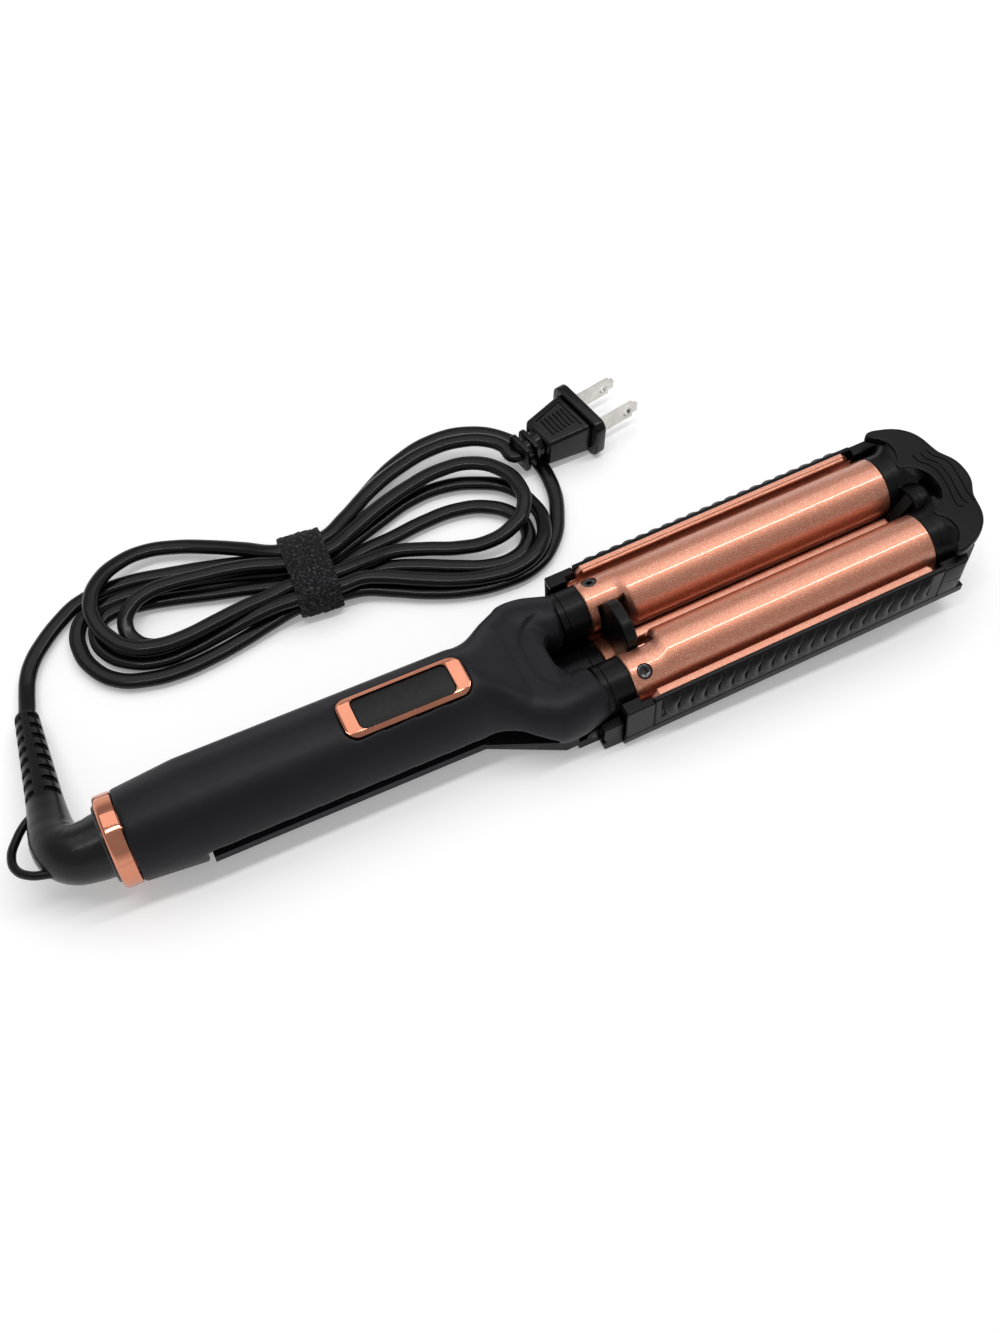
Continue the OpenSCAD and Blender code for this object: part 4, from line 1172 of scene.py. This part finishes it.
    def build_screws(self) -> None:
        """Builds the two dished screws with star sockets."""
        both = []
        for side in Side:
            head = spun([(6.1, 0), (6.1, 2.2), (7.3, 2.2), (7.6, 2.02), (7.68, 1.75),
                         (7.5, 1.45), (7.46, 0)], 48)
            star = bmesh.new()
            bmesh.ops.create_circle(star, cap_ends=True, segments=12, radius=1.3)
            for k, vert in enumerate(star.verts):
                if k % 2:
                    vert.co *= 0.62
            extruded(star, (0, 0, 3))
            bmesh.ops.translate(star, verts=star.verts, vec=(0, 0, 6.4))
            screw = carved(moved(head, placed((0, 0, 0), -90, "Y")), tidy(star))
            both.append(faced(moved(screw, side.mirror @ self.screw_place)))
        self.finish_piece("neck_screws", joined(*both), HEAD, DARK_STEEL, ("barrel_screws",),
                          bevel=0.06, crisp=40)

    def build_end_cap(self, side: Side) -> None:
        """Builds an end ring with its flared bell.

        Args:
            side: which one.
        """
        r, front, ring = self.radius, self.length, self.length + 3.4
        flare = [(ring + 4.7 * math.sin(a), 14.1 - 4.7 * math.cos(a))
                 for a in (math.radians(8 * k) for k in range(1, 9))]
        cap = spun([(front - 6, 5), (front - 6, r - 1.25), (front, r - 1.25),
                    (front, r - 0.25), (front + 0.25, r), (ring - 0.35, r),
                    (ring - 0.1, r - 0.25), *flare, (ring + 4.6, 12.3), (ring + 5.4, 12.3),
                    (ring + 5.6, 11.2), (ring + 9, 11), (ring + 9, 0), (ring + 2, 0),
                    (ring + 2, 5)], 112, self.barrel_y)
        cap = carved(cap, cylinder(placed((ring, 0, 1.8), 90, "Y"), 6.8, 12, 96),
                     block((ring, -3, -30), (ring + 12, 6.8, 1.8)),
                     block((ring, -5, 9.9), (ring + 12, 40, 30)),
                     block((ring, 22.2, -30), (ring + 12, 40, 4.9)),
                     cylinder(placed((ring + 6, self.barrel_y, 0)), 1, 12))
        self.finish_piece(f"end_ring_{side.word}", cap, side.place, MOULDED_BLACK,
                          (f"end_cap_{side.word}",), bevel=0.12, crisp=40)

    @staticmethod
    def tip_height(x: float, y: float) -> float:
        """Depth of the tip's saddle under its plane, at a point along and across the head."""
        return 0.7 * math.cos(y / 24 * math.pi) * max(0.0, 1 - abs(x - 117) / 14)

    def build_tip(self) -> None:
        """Builds the cool tip with its saddle and finger grooves."""
        half = [(123.7, 0), (123.5, 2.6), (122.7, 5.2), (121.4, 7.4), (120.3, 9.4), (119.6, 12),
                (118.7, 15.4), (117.3, 18.2), (115.2, 20.7), (112.4, 22.8), (109, 24.3),
                (106.4, 25.1), (104.6, 24.9), (103.9, 23.9), (104.9, 22.6), (107.0, 20.6),
                (108.5, 17.6), (108.4, 14.5), (107.3, 12.1), (105.9, 10.5), (106.0, 9.3),
                (108.7, 8.2), (111.2, 6.1), (112.9, 3.2), (113.4, 0)]
        outline = half + [(x, -y) for x, y in half[-2:0:-1]]
        bm = skinned(plate(outline, self.tip_under, self.tip_top, 1.3), 0.32, 3)
        for vert in bm.verts:
            vert.co.z -= self.tip_height(*vert.co.xy)
        cutters = []
        for groove in self.grooves:
            points = [(x, y, self.tip_top - 0.16 - self.tip_height(x, y)) for x, y in groove]
            cutters.append(tube(points, [0.3] * len(points), 6, 10))
        apron = block((113.2, -10, -8), (115, 10, 9.3), 0.3)
        self.finish_piece("cool_tip_plate", joined(carved(bm, *cutters), apron), HEAD,
                          MOULDED_BLACK, ("cool_tip",), crisp=50)

    def build(self) -> None:
        """Builds the pieces of both barrels."""
        for side in Side:
            self.build_barrel(side)
            self.build_collar(side)
            self.build_end_cap(side)
            self.dress_node(f"heater_{side.word}", HEATER_ALLOY)
        self.build_screws()
        self.build_tip()
        self.dress_node("thermal_fuse", CERAMIC)
        self.dress_node("tip_screws", STEEL)


# ---- clamp ----

@dataclass
class Clamp(SubAssembly):
    """The sprung clamp: tray, lever, centre barrel and wings."""

    start: float = 3.05
    end: float = 99.9
    inner_y: float = 24.8
    outer_y: float = 26.3
    low: float = -9.0
    high: float = 5.3
    cover_cells: tuple[int, int] = (400, 42)
    scallops: int = 20
    first: float = 8.5
    pitch: float = 4.43
    deep: float = -15.395
    floor: float = -12.895
    edge_round: float = 0.6
    panel_margin: float = 3.4
    panel_low: float = -5.6
    panel_high: float = 4.85
    scallop_middle: float = -0.4
    scallop_half: float = 5.2
    lever_end: float = -123.0
    lever_reach: float = 1.9

    def cover_rise(self, x: float, z: float) -> float:
        """Height of a wing cover's outer face.

        Args:
            x: where, along the head.
            z: where, up.

        Returns:
            The height over the cover's plane.
        """
        edge = min(x - self.start, self.end - x, z - self.low, self.high - z)
        rise = 0.0
        if edge < self.edge_round:
            bite = self.edge_round - edge
            rise = math.sqrt(max(0.0, self.edge_round ** 2 - bite ** 2)) - self.edge_round
        last = self.first + self.pitch * (self.scallops - 1)
        panel = min(x - self.first + self.panel_margin, last + self.panel_margin - x,
                    z - self.panel_low, self.panel_high - z)
        if panel <= 0:
            return rise
        sink = 0.45 * min(1.0, panel / 0.5)
        bend = 0.055 * (z + 0.8) ** 2 - 0.4
        place = (x - bend - self.first) / self.pitch
        along = (z - self.scallop_middle) / self.scallop_half
        if -0.5 < place < self.scallops - 0.5 and abs(along) < 1:
            across = 2 * (place - round(place))
            sink -= 2.0 * math.sqrt(max(0.0, 1 - across * across)) * (1 - along ** 8)
        return rise - sink

    def build_wing(self, side: Side) -> None:
        """Builds a wing's scalloped cover and its heated plate.

        Args:
            side: which one.
        """
        cover = relief((self.start, self.inner_y, self.low),
                       (self.end, self.outer_y, self.high), self.cover_cells, self.cover_rise)
        self.finish_piece(f"wing_cover_{side.word}_piece", cover, side.place, MOULDED_BLACK,
                          (f"wing_cover_{side.word}",), crisp=55)
        wing = moved(merged_copy(f"wing_plate_{side.word}"), side.place.inverted())
        if side is Side.RIGHT:
            bmesh.ops.reverse_faces(wing, faces=wing.faces)
        ends = [moved(block((-6, 20, 0), (6, 26, 6)), placed((x, 0, 3.6), turn, "Y"))
                for x, turn in ((3.2, -45), (98.0, 45))]
        lip = block((5.0, 22.3, 4.0), (96.2, 24.1, 5.2), 0.5)
        self.finish_piece(f"wing_plate_{side.word}_piece",
                          joined(carved(wing, *ends), lip), side.place, COPPER,
                          (f"wing_plate_{side.word}",), bevel=0.3, crisp=30)

    def build_tip_caps(self) -> None:
        """Builds the rounded black caps at the far ends of the wings."""
        both = []
        for side in Side:
            cap = block((99.95, 22.65, self.low), (109.4, self.outer_y, 4.6))
            far = [e for e in cap.edges if all(v.co.x > 109 for v in e.verts)]
            round_edges(cap, [e for e in far if all(v.co.z < 0 or v.co.y > 26 for v in e.verts)],
                        3.0, 8)
            soften(cap, 0.5, 3)
            cap = carved(cap, block((102.2, 25.8, -3.2), (111, 27, -2.9)))
            both.append(faced(moved(cap, side.mirror)))
        self.finish_piece("wing_tip_caps_piece", joined(*both), HEAD, MOULDED_BLACK,
                          ("wing_tip_caps",), crisp=40)

    def build_lever(self) -> None:
        """Builds the lever, whose end reaches close to the shell behind it."""
        lever = merged_copy("lever")
        for vert in lever.verts:
            if vert.co.x < (ORIGIN_X + self.lever_end + 3) * MM:
                vert.co.x -= self.lever_reach * MM
        self.finish_piece("lever_piece", lever, Matrix.Identity(4), SOFT_BLACK, ("lever",), 0.9, 30)

    def build_centre(self) -> None:
        """Builds the half-round centre barrel with its rounded rail."""
        shell = spun([(0.2, 8.3), (0.2, 9.25), (0.45, 9.5), (98.75, 9.5), (99, 9.25),
                      (99, 8.3)], 112, 0, self.deep)
        shell = carved(shell, block((-5, -20, -40), (120, 20, self.floor)))
        rail = block((7.25, -1.9, -6.7), (99, 1.9, -1.3), 1.1, 5)
        self.finish_piece("centre_barrel_piece", joined(shell, rail), HEAD, COPPER,
                          ("centre_barrel",), crisp=35)

    def build_nose(self) -> None:
        """Builds the black end of the centre barrel with its round knob."""
        back, knob_x, front, deep, floor = 99.1, 104.4, 110.6, self.deep, self.floor
        nose = spun([(back, 0), (back, 9.1), (back + 0.3, 9.4), (104, 7.2), (front - 0.4, 7.2),
                     (front, 6.8), (front, 0)], 96, 0, deep)
        nose = carved(nose, block((90, -20, -40), (120, 20, floor)))
        knob = spun([(knob_x, 0), (knob_x, 5.95), (knob_x + 0.4, 6.4), (knob_x + 0.8, 6.4),
                     (knob_x + 0.92, 6.15), (knob_x + 1.04, 6.4), (knob_x + 1.7, 6.4),
                     (knob_x + 1.82, 6.15), (knob_x + 1.94, 6.4), (front - 1.6, 6.4),
                     (front - 0.9, 6.2), (front - 0.4, 5.75), (front - 0.1, 5.1), (front, 4.3),
                     (front, 0)], 112, 0, 1.8)
        stalk = block((knob_x, -6.1, floor), (front - 1, 6.1, 1.8), 0.3)
        ramp = block((back, -1.9, floor), (knob_x + 0.2, 1.9, -1.3))
        for vert in ramp.verts:
            if vert.co.x > knob_x and vert.co.z > -2:
                vert.co.z = 7.2
        crest = [e for e in ramp.edges if all(v.co.z > -2 for v in e.verts)]
        round_edges(ramp, crest, 0.4, 3)
        self.finish_piece("centre_nose_piece", joined(nose, knob, stalk, ramp), HEAD,
                          MOULDED_BLACK, ("centre_nose",), crisp=40)

    def build(self) -> None:
        """Builds the clamp's pieces."""
        for side in Side:
            self.build_wing(side)
        self.build_tip_caps()
        self.build_lever()
        self.build_centre()
        self.build_nose()
        for node, finish, bevel in (
                ("clamp_body", MOULDED_BLACK, 0.4), ("centre_collar", MOULDED_BLACK, 0.3),
                ("hair_guard", MOULDED_BLACK, 0.8), ("wing_end_blocks", MOULDED_BLACK, 1.1)):
            self.refine_node(node, finish, bevel)
        self.dress_node("centre_heater", HEATER_ALLOY)
        self.dress_node("clamp_screws", STEEL)


def main() -> None:
    """Builds the studio and every sub-assembly."""
    logging.basicConfig(level=logging.INFO, format="%(message)s")
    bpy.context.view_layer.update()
    Studio().build()
    parts: list[SubAssembly] = [MainsCord(Body.SWIVEL), Swivel(Body.SWIVEL), Handle(Body.ROOT),
                                ControlPad(Body.PAD), UpperBarrels(Body.ROOT), Clamp(Body.CLAMP)]
    for part in parts:
        part.build()
    bpy.context.view_layer.update()


if __name__ == "__main__":
    main()
